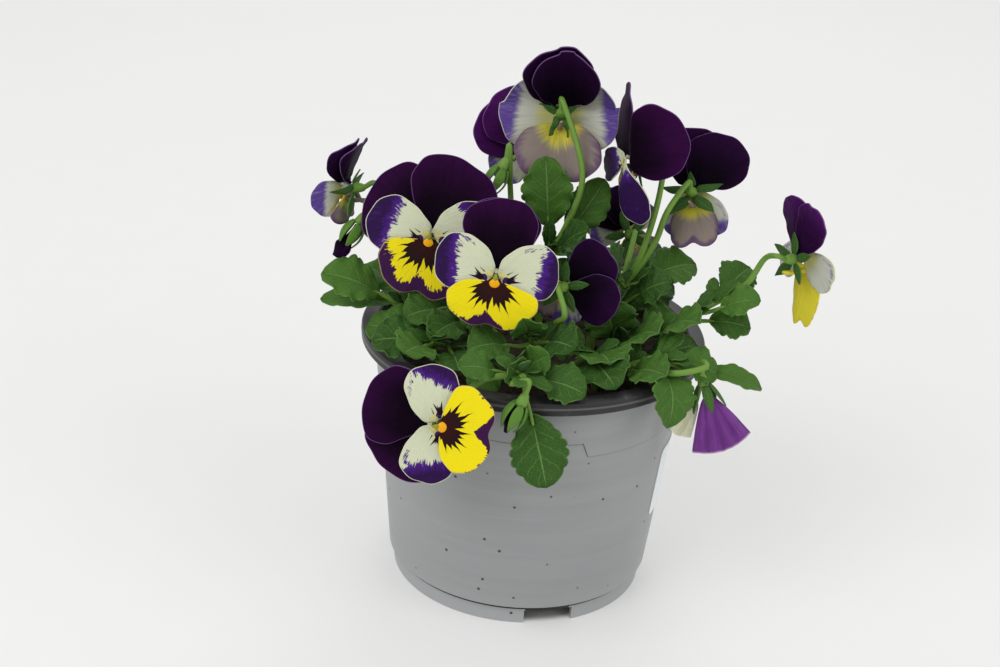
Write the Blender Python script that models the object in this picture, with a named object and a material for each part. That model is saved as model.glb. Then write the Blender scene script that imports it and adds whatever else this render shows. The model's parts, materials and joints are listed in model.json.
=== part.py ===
"""Potted horned violet: a grower's pot with its soil and blank label, twelve leafy stems that stand
in holes in the soil, and the petals of eleven open blooms, a wilted one and two buds.

Sizes are in millimetres and are multiplied by MM where a mesh is made. The pot stands on the origin,
+Z is up and the plant's best side faces -Y.
"""

import math
import random
from collections import namedtuple

import bmesh
import bpy
from mathutils import Matrix, Vector

MM = 0.001

# Pot: 105 mm over the rim, the common 10.5 cm size
RIM_RADIUS = 52.5
RIM_HEIGHT = 4.0
POT_HEIGHT = 81.5
SKIRT_THICKNESS = 1.3
WALL_TOP_RADIUS = 48.2
WALL_FOOT_RADIUS = 41.0
WALL_THICKNESS = 1.2
SHOULDER_Z = 60.0
SHOULDER_STEP = 0.5
FOOT_RADIUS = 39.3
FOOT_HEIGHT = 6.0
FLOOR_Z = 3.0
FLOOR_THICKNESS = 1.5
CENTRE_PAD_RADIUS = 9.0
POT_SIDES = 36
NOTCH_COUNT = 3
NOTCH_AZIMUTH = 15.5
NOTCH_WIDTH = 15.0
NOTCH_HEIGHT = 4.6
DRAIN_COUNT = 6
DRAIN_RADIUS = 3.5
DRAIN_CIRCLE = 25.0
DRAIN_AZIMUTH = 34.0

# Soil
SOIL_TOP = 74.0
SOIL_ROUGHNESS = 0.9
SOIL_GAP = 0.3
STEM_HOLE_DEPTH = 9.0
STEM_HOLE_GAP = 0.35
HOLE_SIDES = 6

# Label on the right of the wall, one wall facet wide per step
LABEL_LOW = 28.0
LABEL_HIGH = 52.0
LABEL_FIRST_FACET = 7
LABEL_FACETS = 4
LABEL_THICKNESS = 0.5
LABEL_GAP = 0.3

# Plant
BLADE_THICKNESS = 0.64
STEM_RADIUS = 1.35
STALK_RADIUS = 0.85
PETIOLE_RADIUS = 0.75
STEM_SIDES = 5
STALK_SIDES = 4
PETIOLE_SIDES = 3

# One bloom, measured on the front one: 36 mm wide and 38 mm tall
PETAL_SIZES = ((23.5, 23.0), (18.5, 16.4), (13.8, 26.5))
CALYX_DEPTH = 6.0
CALYX_FRONT = -4.5
CLAW_START = -4.2
FLAT_ANGLE = 0.1
FOLD_START = 2.0
FOLD_RADIUS = 6.0


def material(name, colour, roughness, metallic=0.0):
    found = bpy.data.materials.get(name)
    if found:
        return found
    made = bpy.data.materials.new(name)
    made.use_nodes = True
    made.diffuse_color = (*colour, 1)
    shader = made.node_tree.nodes["Principled BSDF"]
    shader.inputs["Base Color"].default_value = (*colour, 1)
    shader.inputs["Roughness"].default_value = roughness
    shader.inputs["Metallic"].default_value = metallic
    return made


GREY_PLASTIC = ("grey_plastic", (0.34, 0.36, 0.38), 0.42)
SOIL_BROWN = ("soil_brown", (0.035, 0.022, 0.014), 0.95)
LABEL_WHITE = ("label_white", (0.82, 0.84, 0.86), 0.5)
LEAF_GREEN = ("leaf_green", (0.045, 0.19, 0.03), 0.5)
UPPER_PURPLE = ("upper_purple", (0.03, 0.002, 0.045), 0.55)
SIDE_CREAM = ("side_cream", (0.62, 0.64, 0.47), 0.55)
LOWER_YELLOW = ("lower_yellow", (0.86, 0.68, 0.01), 0.5)
WILTED_MAGENTA = ("wilted_magenta", (0.16, 0.02, 0.20), 0.6)


def clear_scene():
    for found in list(bpy.data.objects):
        bpy.data.objects.remove(found, do_unlink=True)


def add_object(name, points, faces):
    """A mesh object from points in millimetres."""
    mesh = bpy.data.meshes.new(name)
    mesh.from_pydata([Vector(point) * MM for point in points], [], faces)
    made = bpy.data.objects.new(name, mesh)
    bpy.context.scene.collection.objects.link(made)
    return made


def face_outwards(mesh):
    shape = bmesh.new()
    shape.from_mesh(mesh)
    bmesh.ops.recalc_face_normals(shape, faces=shape.faces)
    shape.to_mesh(mesh)
    shape.free()


def sheet(name, points, triangles):
    """A thin blade: the same triangles on both faces, half the thickness to each side."""
    made = add_object(name, points, triangles)
    solid = made.modifiers.new("Thickness", "SOLIDIFY")
    solid.thickness = BLADE_THICKNESS * MM
    solid.offset = 0
    return made


def smooth_path(controls, steps):
    """Points on a Catmull-Rom curve through the control points, steps to each span."""
    points = [Vector(control) for control in controls]
    ends = [points[0] * 2 - points[1], *points, points[-1] * 2 - points[-2]]
    path = []
    for span in range(len(points) - 1):
        before, start, end, after = ends[span : span + 4]
        for step in range(steps):
            t = step / steps
            path.append(
                0.5
                * (
                    start * 2
                    + (end - before) * t
                    + (before * 2 - start * 5 + end * 4 - after) * t**2
                    + (start * 3 - before - end * 3 + after) * t**3
                )
            )
    path.append(points[-1])
    return path


def along_path(path, share):
    """The point at this share of the path's length."""
    spans = [(b - a).length for a, b in zip(path, path[1:])]
    left = share * sum(spans)
    for start, end, span in zip(path, path[1:], spans):
        if left <= span:
            return start.lerp(end, left / span)
        left -= span
    return path[-1]


def tube(name, path, radii, sides):
    """A closed tube along the path, with a radius for each point."""
    points = []
    normal = (path[1] - path[0]).orthogonal().normalized()
    for place, point in enumerate(path):
        before = path[max(place - 1, 0)]
        after = path[min(place + 1, len(path) - 1)]
        tangent = (after - before).normalized()
        normal = (normal - tangent * normal.dot(tangent)).normalized()
        binormal = tangent.cross(normal)
        for side in range(sides):
            turn = math.tau * side / sides
            points.append(point + (normal * math.cos(turn) + binormal * math.sin(turn)) * radii[place])
    faces = [tuple(reversed(range(sides)))]
    for ring in range(len(path) - 1):
        for side in range(sides):
            low = ring * sides + side
            high = ring * sides + (side + 1) % sides
            faces.append((low, high, high + sides, low + sides))
    last = (len(path) - 1) * sides
    faces.append(tuple(range(last, last + sides)))
    made = add_object(name, points, faces)
    face_outwards(made.data)
    return made


def tapered(start, end, count):
    return [start + (end - start) * place / (count - 1) for place in range(count)]


def clean_body(mesh):
    """Drops the loose scraps and sealed hollows that fusing leaves, and joins triangles in one plane."""
    shape = bmesh.new()
    shape.from_mesh(mesh)
    shape.faces.ensure_lookup_table()
    seen = set()
    bodies = []
    for first in shape.faces:
        if first.index in seen:
            continue
        body = []
        waiting = [first]
        seen.add(first.index)
        while waiting:
            face = waiting.pop()
            body.append(face)
            for edge in face.edges:
                for other in edge.link_faces:
                    if other.index not in seen:
                        seen.add(other.index)
                        waiting.append(other)
        bodies.append(body)
    volumes = [
        sum(face.calc_center_median().dot(face.normal) * face.calc_area() for face in body) for body in bodies
    ]
    largest = volumes.index(max(volumes))
    loose = [face for place, body in enumerate(bodies) if place != largest for face in body]
    bmesh.ops.delete(shape, geom=loose, context="FACES")
    flat = math.radians(FLAT_ANGLE)
    bmesh.ops.dissolve_limit(shape, angle_limit=flat, verts=shape.verts[:], edges=shape.edges[:])
    bmesh.ops.triangulate(shape, faces=shape.faces[:])
    shape.to_mesh(mesh)
    shape.free()


def fuse(name, pieces, finish, solver="MANIFOLD"):
    """Joins the pieces into one closed body by a Boolean union, and names it."""
    body = pieces[0]
    others = pieces[1:]
    if others:
        group = bpy.data.collections.new(name + "_pieces")
        bpy.context.scene.collection.children.link(group)
        for piece in others:
            bpy.context.scene.collection.objects.unlink(piece)
            group.objects.link(piece)
        union = body.modifiers.new("Union", "BOOLEAN")
        union.operation = "UNION"
        union.operand_type = "COLLECTION"
        union.collection = group
        union.solver = solver
    graph = bpy.context.evaluated_depsgraph_get()
    mesh = bpy.data.meshes.new_from_object(body.evaluated_get(graph))
    for piece in pieces:
        bpy.data.objects.remove(piece, do_unlink=True)
    if others:
        bpy.data.collections.remove(group)
    clean_body(mesh)
    mesh.name = name
    mesh.materials.clear()
    mesh.materials.append(material(*finish))
    mesh.shade_smooth()
    mesh.set_sharp_from_angle(angle=math.radians(40))
    made = bpy.data.objects.new(name, mesh)
    bpy.context.scene.collection.objects.link(made)
    return made


def turned(name, profile, sides):
    """A body of revolution about Z. The profile goes from the axis below to the axis above."""
    points = [(0, 0, profile[0][1])]
    for radius, height in profile[1:-1]:
        for side in range(sides):
            turn = math.tau * side / sides
            points.append((radius * math.sin(turn), -radius * math.cos(turn), height))
    points.append((0, 0, profile[-1][1]))
    top = len(points) - 1
    rings = len(profile) - 2
    faces = []
    for side in range(sides):
        after = (side + 1) % sides
        faces.append((0, 1 + after, 1 + side))
        for ring in range(rings - 1):
            low = 1 + ring * sides
            faces.append((low + side, low + after, low + sides + after, low + sides + side))
        last = 1 + (rings - 1) * sides
        faces.append((last + side, last + after, top))
    made = add_object(name, points, faces)
    face_outwards(made.data)
    return made


def cut(body, cutter):
    """Cuts the cutter out of the body. The cutter stays as a hidden guide."""
    cutter.hide_render = True
    cutter.display_type = "WIRE"
    hole = body.modifiers.new("Cut", "BOOLEAN")
    hole.operation = "DIFFERENCE"
    hole.object = cutter


def wall_radius(height):
    """Outer radius of the tapered wall."""
    share = (height - FOOT_HEIGHT) / (POT_HEIGHT - RIM_HEIGHT - FOOT_HEIGHT)
    return WALL_FOOT_RADIUS + (WALL_TOP_RADIUS - SHOULDER_STEP - WALL_FOOT_RADIUS) * share


def pot_profile():
    under_rim = POT_HEIGHT - RIM_HEIGHT
    inner_top = wall_radius(POT_HEIGHT) - WALL_THICKNESS + SHOULDER_STEP
    inner_low = WALL_FOOT_RADIUS - WALL_THICKNESS - 0.4
    return [
        (0, 0),
        (CENTRE_PAD_RADIUS, 0),
        (CENTRE_PAD_RADIUS, FLOOR_Z),
        (FOOT_RADIUS - 1.6, FLOOR_Z),
        (FOOT_RADIUS - 1.6, 0),
        (FOOT_RADIUS, 0),
        (FOOT_RADIUS + 0.3, FOOT_HEIGHT - 0.6),
        (WALL_FOOT_RADIUS, FOOT_HEIGHT + 0.6),
        (wall_radius(SHOULDER_Z), SHOULDER_Z),
        (wall_radius(SHOULDER_Z) + SHOULDER_STEP, SHOULDER_Z + 0.6),
        (WALL_TOP_RADIUS, under_rim + 2.4),
        (RIM_RADIUS - SKIRT_THICKNESS, under_rim + 2.4),
        (RIM_RADIUS - SKIRT_THICKNESS, under_rim),
        (RIM_RADIUS - 0.2, under_rim),
        (RIM_RADIUS, POT_HEIGHT - 0.7),
        (RIM_RADIUS - 0.7, POT_HEIGHT),
        (inner_top, POT_HEIGHT),
        (inner_low, FLOOR_Z + FLOOR_THICKNESS),
        (0, FLOOR_Z + FLOOR_THICKNESS),
    ]


def inner_radius(height):
    """Inner radius of the pot at this height."""
    low, high = pot_profile()[-2], pot_profile()[-3]
    return low[0] + (high[0] - low[0]) * (height - low[1]) / (high[1] - low[1])


def make_pot():
    pot = turned("pot", pot_profile(), POT_SIDES)
    for place in range(NOTCH_COUNT):
        turn = math.radians(NOTCH_AZIMUTH + 360 * place / NOTCH_COUNT)
        middle = Vector((math.sin(turn), -math.cos(turn), 0)) * (FOOT_RADIUS - 1)
        bpy.ops.mesh.primitive_cube_add(size=1, location=(middle + Vector((0, 0, 0.3))) * MM)
        notch = bpy.context.object
        notch.name = f"notch_cutter_{place}"
        notch.scale = (NOTCH_WIDTH * MM, 6 * MM, 2 * (NOTCH_HEIGHT - 0.3) * MM)
        notch.rotation_euler.z = turn
        cut(pot, notch)
    for place in range(DRAIN_COUNT):
        turn = math.radians(DRAIN_AZIMUTH + 360 * place / DRAIN_COUNT)
        middle = Vector((math.sin(turn), -math.cos(turn), 0)) * DRAIN_CIRCLE + Vector((0, 0, 3.7))
        bpy.ops.mesh.primitive_cylinder_add(
            vertices=8, radius=DRAIN_RADIUS * MM, depth=4 * MM, location=middle * MM
        )
        drain = bpy.context.object
        drain.name = f"drain_cutter_{place}"
        cut(pot, drain)
    pot.data.materials.append(material(*GREY_PLASTIC))
    pot.data.shade_smooth()
    pot.data.set_sharp_from_angle(angle=math.radians(35))
    return pot


def make_soil(stems):
    """The root ball, with a lumpy top and a plain hole for each stem."""
    clods = random.Random(11)
    floor = FLOOR_Z + FLOOR_THICKNESS + SOIL_GAP
    edge = inner_radius(SOIL_TOP) - SOIL_GAP
    profile = [(0, floor), (inner_radius(floor) - SOIL_GAP - 0.1, floor), (edge, SOIL_TOP - 0.5)]
    profile += [(edge * share, SOIL_TOP) for share in (0.86, 0.7, 0.52, 0.34, 0.17)]
    profile.append((0, SOIL_TOP))
    soil = turned("soil", profile, POT_SIDES // 2)
    for vertex in soil.data.vertices:
        away = Vector(vertex.co[:2]).length
        if vertex.co.z > (SOIL_TOP - 0.1) * MM and away < 0.9 * edge * MM:
            vertex.co.z += clods.uniform(-SOIL_ROUGHNESS, SOIL_ROUGHNESS) * MM
    widen = math.cos(math.pi / POT_SIDES) / math.cos(math.tau / POT_SIDES)
    for vertex in soil.data.vertices:
        vertex.co.x /= widen
        vertex.co.y /= widen
    for stem in stems:
        foot = Vector(stem.path[0])
        bpy.ops.mesh.primitive_cylinder_add(
            vertices=HOLE_SIDES,
            radius=(STEM_RADIUS + STEM_HOLE_GAP) / math.cos(math.pi / HOLE_SIDES) * MM,
            depth=2 * STEM_HOLE_DEPTH * MM,
            location=Vector((foot.x, foot.y, SOIL_TOP)) * MM,
        )
        hole = bpy.context.object
        hole.name = stem.name + "_hole_cutter"
        cut(soil, hole)
    soil.data.materials.append(material(*SOIL_BROWN))
    soil.data.shade_smooth()
    return soil


def make_label():
    """The blank label: a thin plate that follows the wall's facets."""
    points = []
    for height in (LABEL_LOW, LABEL_HIGH):
        for out in (LABEL_GAP, LABEL_GAP + LABEL_THICKNESS):
            for step in range(LABEL_FACETS + 1):
                turn = math.tau * (LABEL_FIRST_FACET + step) / POT_SIDES
                radius = wall_radius(height) + out
                points.append((radius * math.sin(turn), -radius * math.cos(turn), height))
    row = LABEL_FACETS + 1
    faces = []
    for step in range(LABEL_FACETS):
        inner_low, outer_low, inner_high, outer_high = (step + row * place for place in range(4))
        faces.append((outer_low, outer_low + 1, outer_high + 1, outer_high))
        faces.append((inner_low + 1, inner_low, inner_high, inner_high + 1))
        faces.append((inner_low, inner_low + 1, outer_low + 1, outer_low))
        faces.append((outer_high, outer_high + 1, inner_high + 1, inner_high))
    for step in (0, LABEL_FACETS):
        inner_low, outer_low, inner_high, outer_high = (step + row * place for place in range(4))
        faces.append((inner_low, outer_low, outer_high, inner_high))
    label = add_object("blank_label", points, faces)
    face_outwards(label.data)
    label.data.materials.append(material(*LABEL_WHITE))
    return label


Leaf = namedtuple("Leaf", "at tip width petiole face teeth arch", defaults=(0.4, (0, -0.6, 1), 3, 0.1))
Stem = namedtuple("Stem", "name path leaves stalks")
Stalk = namedtuple("Stalk", "at through bloom")
Bloom = namedtuple(
    "Bloom",
    "name throat azimuth elevation roll size uppers sides fold lengths widths points kind ahead",
    defaults=(0, 1, (75, 105), (18, 162), (0, 0, 0, 0), (1, 1, 1), (1, 1, 1), 9, "open", False),
)


def leaf_outline(teeth):
    """Half outline of a spoon-shaped leaf: (share of length, share of half width), base to tip."""
    points = []
    steps = 2 * teeth
    for step in range(1, steps + 1):
        share = 0.10 + 0.84 * (step / steps) ** 0.95
        breadth = math.sin(math.pi * min(1, share**1.15 * 0.94 + 0.03)) ** 0.75
        notched = step % 2 == 0 and step < steps
        points.append((share, breadth * (0.84 if notched else 1.0)))
    return points


def leaf_sheet(name, base, tip, width, face, teeth, arch):
    """A leaf blade with a scalloped edge, arched along its length and folded up a little at its rib."""
    along = Vector(tip) - Vector(base)
    length = along.length
    along.normalize()
    normal = Vector(face)
    normal = (normal - along * normal.dot(along)).normalized()
    across = along.cross(normal)

    def place(share, breadth):
        lift = arch * length * 4 * share * (1 - share) + 0.16 * abs(breadth) * width / 2
        return Vector(base) + along * length * share + across * breadth * width / 2 + normal * lift

    side = leaf_outline(teeth)
    rib = [place(0, 0)] + [place(share, 0) for share, _ in side[1::2]][:-1] + [place(1, 0)]
    right = [place(share, breadth) for share, breadth in side]
    left = [place(share, -breadth) for share, breadth in side]
    points = rib + right + left
    first_right = len(rib)
    first_left = first_right + len(right)
    triangles = []
    for first, turned_over in ((first_right, False), (first_left, True)):
        for step in range(len(side) - 1):
            rib_low = min((step + 1) // 2, len(rib) - 1)
            rib_high = min((step + 2) // 2, len(rib) - 1)
            fan = [(rib_low, first + step, first + step + 1)]
            if rib_high != rib_low:
                fan.append((rib_low, first + step + 1, rib_high))
            triangles += [tuple(reversed(one)) if turned_over else one for one in fan]
    return sheet(name, points, triangles)


def make_leaf(leaf, stem_path):
    """The pieces of one leaf: its petiole, sunk into the foot of the blade, and the blade."""
    root = along_path(stem_path, leaf.at)
    tip = Vector(leaf.tip)
    base = root.lerp(tip, leaf.petiole)
    petiole = [root, base.lerp(tip, 0.16)]
    rib = tube("petiole", petiole, [PETIOLE_RADIUS, 0.8 * PETIOLE_RADIUS], PETIOLE_SIDES)
    blade = leaf_sheet("blade", base, tip, leaf.width, leaf.face, leaf.teeth, leaf.arch)
    return [blade, rib]


def bloom_frame(bloom):
    """Matrix from the bloom's own frame: x right, y up to the upper petals, z out of its face."""
    azimuth = math.radians(bloom.azimuth)
    elevation = math.radians(bloom.elevation)
    roll = math.radians(bloom.roll)
    out = Vector(
        (
            math.sin(azimuth) * math.cos(elevation),
            -math.cos(azimuth) * math.cos(elevation),
            math.sin(elevation),
        )
    )
    up = (Vector((0, 0, 1)) - out * out.z).normalized()
    right = up.cross(out)
    turned_up = up * math.cos(roll) - right * math.sin(roll)
    turned_right = right * math.cos(roll) + up * math.sin(roll)
    frame = Matrix((turned_right, turned_up, out)).transposed().to_4x4()
    return Matrix.Translation(Vector(bloom.throat)) @ frame


def folded(point, fold):
    """Bends the space round a bloom back at its right, left, top and bottom, by degrees for each."""
    right, left, top, bottom = (math.radians(angle) for angle in fold)

    def bend(distance, depth, limit):
        past = abs(distance) - FOLD_START
        if past <= 0 or limit == 0:
            return distance, depth
        sign = math.copysign(1, distance)
        turn = min(past / FOLD_RADIUS, abs(limit))
        rest = past - FOLD_RADIUS * turn
        way = math.copysign(1, limit)
        reach = FOLD_RADIUS + way * depth
        out = FOLD_START + reach * math.sin(turn) + rest * math.cos(turn)
        back = reach * math.cos(turn) - FOLD_RADIUS - rest * math.sin(turn)
        return sign * out, way * back

    x, y, z = point
    x, z = bend(x, z, right if x > 0 else left)
    y, z = bend(y, z, top if y > 0 else bottom)
    return Vector((x, y, z))


def petal_sheet(name, bloom, base, angle, length, width, lift, curl, cup, waist, notch=0.0):
    """A petal from its base out at this angle, a fan round a middle point.

    lift is the slope at the base and curl the change of slope to the tip, both in degrees; waist is
    how wide the petal is near its base for its width further out, and notch the depth of the dip at its tip.
    """
    frame = bloom_frame(bloom)
    slope = math.radians(lift)
    bend = math.radians(curl)
    out = Vector((math.cos(math.radians(angle)), math.sin(math.radians(angle)), 0))
    across = Vector((-out.y, out.x, 0))
    forward = Vector((0, 0, 1))
    turns = [math.tau * place / bloom.points for place in range(bloom.points)]
    outline = []
    for turn in turns:
        share = (1 + math.cos(turn)) / 2
        breadth = math.sin(turn) * (waist + (1 - waist) * share**0.55)
        dip = notch * math.exp(-((min(turn, math.tau - turn) / 0.32) ** 2))
        outline.append((share - dip, breadth))
    widest = max(breadth for _, breadth in outline)
    outline = [(share, breadth / widest) for share, breadth in outline]

    def place(share, breadth):
        end = slope + bend * share
        reach = length * (math.sin(end) - math.sin(slope)) / bend
        rise = length * (math.cos(slope) - math.cos(end)) / bend
        lifted = cup * breadth**2 * width / 2
        flat = out * (reach - lifted * math.sin(end)) + across * breadth * width / 2
        return frame @ folded(Vector(base) + flat + forward * (rise + lifted * math.cos(end)), bloom.fold)

    middle = 0.55
    points = [place(middle, 0)]
    rings = 2 if any(bloom.fold) else 1
    for ring in range(1, rings + 1):
        size = ring / rings
        points += [place(middle + size * (share - middle), size * breadth) for share, breadth in outline]
    triangles = []
    for step in range(bloom.points):
        after = (step + 1) % bloom.points
        triangles.append((0, 1 + step, 1 + after))
        if rings == 2:
            outer, outer_after = 1 + bloom.points + step, 1 + bloom.points + after
            triangles += [(1 + step, outer, outer_after), (1 + step, outer_after, 1 + after)]
    return sheet(name, points, triangles)


def petal_size(bloom, kind):
    """Length and width of this kind of petal: 0 for the upper ones, 1 for the side ones, 2 for the lower."""
    length, width = PETAL_SIZES[kind]
    return length * bloom.size * bloom.lengths[kind], width * bloom.size * bloom.widths[kind]


def claw(frame, start, end, radius, end_radius):
    """The narrow foot of a petal, down to just short of the calyx."""
    path = [frame @ Vector(start), frame @ Vector(end)]
    return tube("claw", path, [radius, end_radius], STALK_SIDES)


def make_upper_petals(bloom):
    length, width = petal_size(bloom, 0)
    pieces = []
    for angle, across, depth, curl in zip(bloom.uppers, (0.4, -0.4), (-2.0, -3.0), (-22, -24)):
        base = (across, 1.8, depth)
        lift = (4 if bloom.ahead else 9) + depth / 2
        pieces.append(petal_sheet("upper", bloom, base, angle, length, width, lift, curl, 0.03, 0.4))
    pieces.append(claw(bloom_frame(bloom), (0, 1.3, CLAW_START), (0, 2.9, -1.7), 0.5, 0.8))
    return fuse(bloom.name + "_upper_petals", pieces, UPPER_PURPLE)


def make_side_petals(bloom):
    length, width = petal_size(bloom, 1)
    pieces = []
    lift, curl = (7, -14) if bloom.ahead else (14, -23)
    for angle, across, depth in zip(bloom.sides, (0.3, -0.3), (-0.9, -0.7)):
        base = (across, 1.1, depth)
        pieces.append(petal_sheet("side", bloom, base, angle, length, width, lift, curl, 0.02, 0.45))
    pieces.append(claw(bloom_frame(bloom), (0, 0.3, CLAW_START), (0, 1.3, -0.4), 0.45, 1.2))
    return fuse(bloom.name + "_side_petals", pieces, SIDE_CREAM)


def make_lower_petal(bloom):
    """The lower petal with its spur. It lies ahead of the side petals, or behind them if they hang."""
    frame = bloom_frame(bloom)
    length, width = petal_size(bloom, 2)
    depth, lift, curl, cup, waist = (0.9, 3, -6, 0.02, 1.8) if bloom.ahead else (-2.3, -6, 6, 0.04, 0.85)
    blade = petal_sheet("lower", bloom, (0, -1.9, depth), -90, length, width, lift, curl, cup, waist, 0.15)
    foot = claw(frame, (0, -1.3, CLAW_START), (0, -3.1, depth + 0.2), 0.5, 0.7)
    spur_path = [frame @ Vector(point) for point in ((0, -3.8, depth + 0.1), (0, -4.1, -5), (0, -3.7, -8.6))]
    spur = tube("spur", spur_path, [0.9, 0.75, 0.5], STALK_SIDES)
    return fuse(bloom.name + "_lower_petal", [blade, foot, spur], LOWER_YELLOW)


SEPALS = {
    "open": ((4.2, -5.9, 1.25), (9.4, -5.9)),
    "closed": ((3.1, -4.6, 1.1), (2.4, 1.6)),
    "spent": ((3.3, -3.6, 1.3), (5.0, 2.0)),
}


def make_calyx(bloom):
    """The green cup behind a bloom, drawn out on its five sides into narrow sepals."""
    frame = bloom_frame(bloom)
    (middle_radius, middle_depth, half_width), (tip_radius, tip_depth) = SEPALS[bloom.kind]
    points = []
    for radius, depth in ((1.6, -8.4), (2.0, CALYX_FRONT)):
        for corner in range(5):
            turn = math.radians(54 + 72 * corner)
            points.append(Vector((math.cos(turn) * radius, math.sin(turn) * radius, depth)))
    faces = [tuple(range(5)), tuple(range(5, 10))]
    for place in range(5):
        turn = math.radians(90 + 72 * place)
        out = Vector((math.cos(turn), math.sin(turn), 0))
        across = Vector((-out.y, out.x, 0)) * half_width
        along = Vector((tip_radius - middle_radius, 0, tip_depth - middle_depth)).normalized()
        half = (out * -along.z + Vector((0, 0, along.x))) * BLADE_THICKNESS / 2
        middle = out * middle_radius + Vector((0, 0, middle_depth))
        tip = out * tip_radius + Vector((0, 0, tip_depth))
        blade = [middle - across - half, middle + across - half, middle + across + half]
        blade += [middle - across + half, tip - half, tip + half]
        first = len(points)
        points += [folded(point, bloom.fold) for point in blade]
        low, low_after, high, high_after = place, (place + 1) % 5, 5 + place, 5 + (place + 1) % 5
        low_right, low_left, high_left, high_right, tip_low, tip_high = range(first, first + 6)
        faces += [
            (low, low_after, low_left, low_right),
            (low_after, high_after, high_left, low_left),
            (high_after, high, high_right, high_left),
            (high, low, low_right, high_right),
            (low_right, low_left, tip_low),
            (high_left, high_right, tip_high),
            (low_left, high_left, tip_high, tip_low),
            (high_right, low_right, tip_low, tip_high),
        ]
    calyx = add_object("calyx", [frame @ point for point in points], faces)
    face_outwards(calyx.data)
    return [calyx]


def make_stalk(stalk, stem_path):
    """A flower stalk from the stem, through its points, hooked over into the back of the calyx."""
    bloom = stalk.bloom
    frame = bloom_frame(bloom)
    out = frame.to_3x3() @ Vector((0, 0, 1))
    up = (Vector((0, 0, 1)) - out * out.z).normalized()
    cup = Vector(bloom.throat) - out * CALYX_DEPTH
    hook = [cup - out * 6.0 + up * 1.4, cup - out * 4.2 + up * 1.4, cup - out * 1.8]
    controls = [along_path(stem_path, stalk.at), *(Vector(point) for point in stalk.through)]
    path = smooth_path(controls, 2) + hook
    return [tube("stalk", path, tapered(STALK_RADIUS * 1.15, STALK_RADIUS * 0.85, len(path)), STALK_SIDES)]


def make_stem(stem):
    path = [Vector(stem.path[0]), *smooth_path(stem.path[1:], 2)]
    pieces = [tube(stem.name, path, tapered(STEM_RADIUS, STEM_RADIUS * 0.75, len(path)), STEM_SIDES)]
    for leaf in stem.leaves:
        pieces += make_leaf(leaf, path)
    for stalk in stem.stalks:
        pieces += make_stalk(stalk, path)
        pieces += make_calyx(stalk.bloom)
    return fuse(stem.name, pieces, LEAF_GREEN)


def make_bud_tip(bloom, length, radii, finish):
    """Furled petals that stand out of a closed calyx, with a radius at each of four places."""
    frame = bloom_frame(bloom)
    path = [frame @ Vector((0, 0, CLAW_START + length * share)) for share in (0, 0.3, 0.7, 1)]
    return fuse(bloom.name + "_furled_petals", [tube("furled", path, radii, 7)], finish)


def crumpled_sheet(name, apex, down, facing, length, width, pleats, depth):
    """A limp petal: a fan of pleats that hangs down from its apex."""
    down = Vector(down).normalized()
    facing = Vector(facing)
    facing = (facing - down * facing.dot(down)).normalized()
    across = facing.cross(down)
    columns = 2 * pleats
    points = []
    for row in range(4):
        share = row / 3
        for column in range(columns + 1):
            breadth = 2 * column / columns - 1
            reach = length * (0.04 + share * (1 - 0.12 * breadth**2 - 0.05 * (column % 2)))
            spread = breadth * width / 2 * (0.16 + 0.84 * share**0.8)
            fold = depth * ((column % 2 - 0.5) * share + 0.9 * (1 - breadth**2) * share)
            points.append(Vector(apex) + down * reach + across * spread + facing * fold)
    triangles = []
    row_length = columns + 1
    for row in range(3):
        for column in range(columns):
            low = row * row_length + column
            high = low + row_length
            triangles += [(low, low + 1, high + 1), (low, high + 1, high)]
    return sheet(name, points, triangles)


def make_wilted_petals(bloom):
    """The spent bloom: its dark petals crumpled into one fan, and one limp cream petal."""
    frame = bloom_frame(bloom)
    middle = frame @ Vector((0, 0, CLAW_START))
    apex = Vector((51.0, -32.0, 77.8))
    fan = crumpled_sheet("fan", apex, (0.41, -0.06, -1), (0.1, -1, 0.1), 17.5, 18.0, 4, 1.8)
    path = [middle + Vector((0.25, -0.2, 0)), apex + Vector((0.5, 0, -1.5))]
    foot = tube("foot", path, [0.5, 0.75], STALK_SIDES)
    fuse(bloom.name + "_crumpled_petals", [fan, foot], WILTED_MAGENTA)
    apex = Vector((48.6, -30.9, 75.1))
    limp = crumpled_sheet("limp", apex, (-0.5, -0.1, -1), (-0.1, -1, 0.1), 11.5, 8.5, 2, 1.0)
    path = [middle + Vector((-0.7, 0.7, -0.5)), apex + Vector((-0.7, 0, -1.4))]
    foot = tube("foot", path, [0.45, 0.6], STALK_SIDES)
    fuse(bloom.name + "_limp_petal", [limp, foot], SIDE_CREAM)


FRONT = Bloom(
    "bloom_front",
    (-12.5, -26, 108.4),
    2,
    22,
    -6,
    1,
    (95, 89),
    (7, 173),
    lengths=(0.88, 0.97, 1.05),
    widths=(0.95, 1, 1),
    points=12,
    ahead=True,
)
FRONT_LEFT = Bloom(
    "bloom_front_left",
    (-32.5, -8.4, 112.4),
    -4,
    22,
    -8,
    1.04,
    (78, 158),
    (16, 184),
    lengths=(0.92, 1, 1.26),
    widths=(1.1, 1, 1),
    points=12,
    ahead=True,
)
RIM = Bloom(
    "bloom_rim",
    (-26.6, -61, 77),
    -2,
    14,
    87,
    0.94,
    (74, 142),
    (3, 184),
    lengths=(0.86, 0.96, 1.23),
    widths=(1.06, 1, 1),
    points=12,
    ahead=True,
)
TOP = Bloom(
    "bloom_top",
    (3.4, 23, 140.5),
    182,
    -36,
    0,
    1.16,
    (87, 93),
    (6, 174),
    (20, 30, 60, 0),
    lengths=(1, 0.9, 1.3),
    widths=(0.9, 1.3, 1),
    points=12,
)
TOP_LEFT = Bloom("bloom_top_left", (-3, 43, 124), 195, -20, -50, 0.85, (80, 100))
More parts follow.
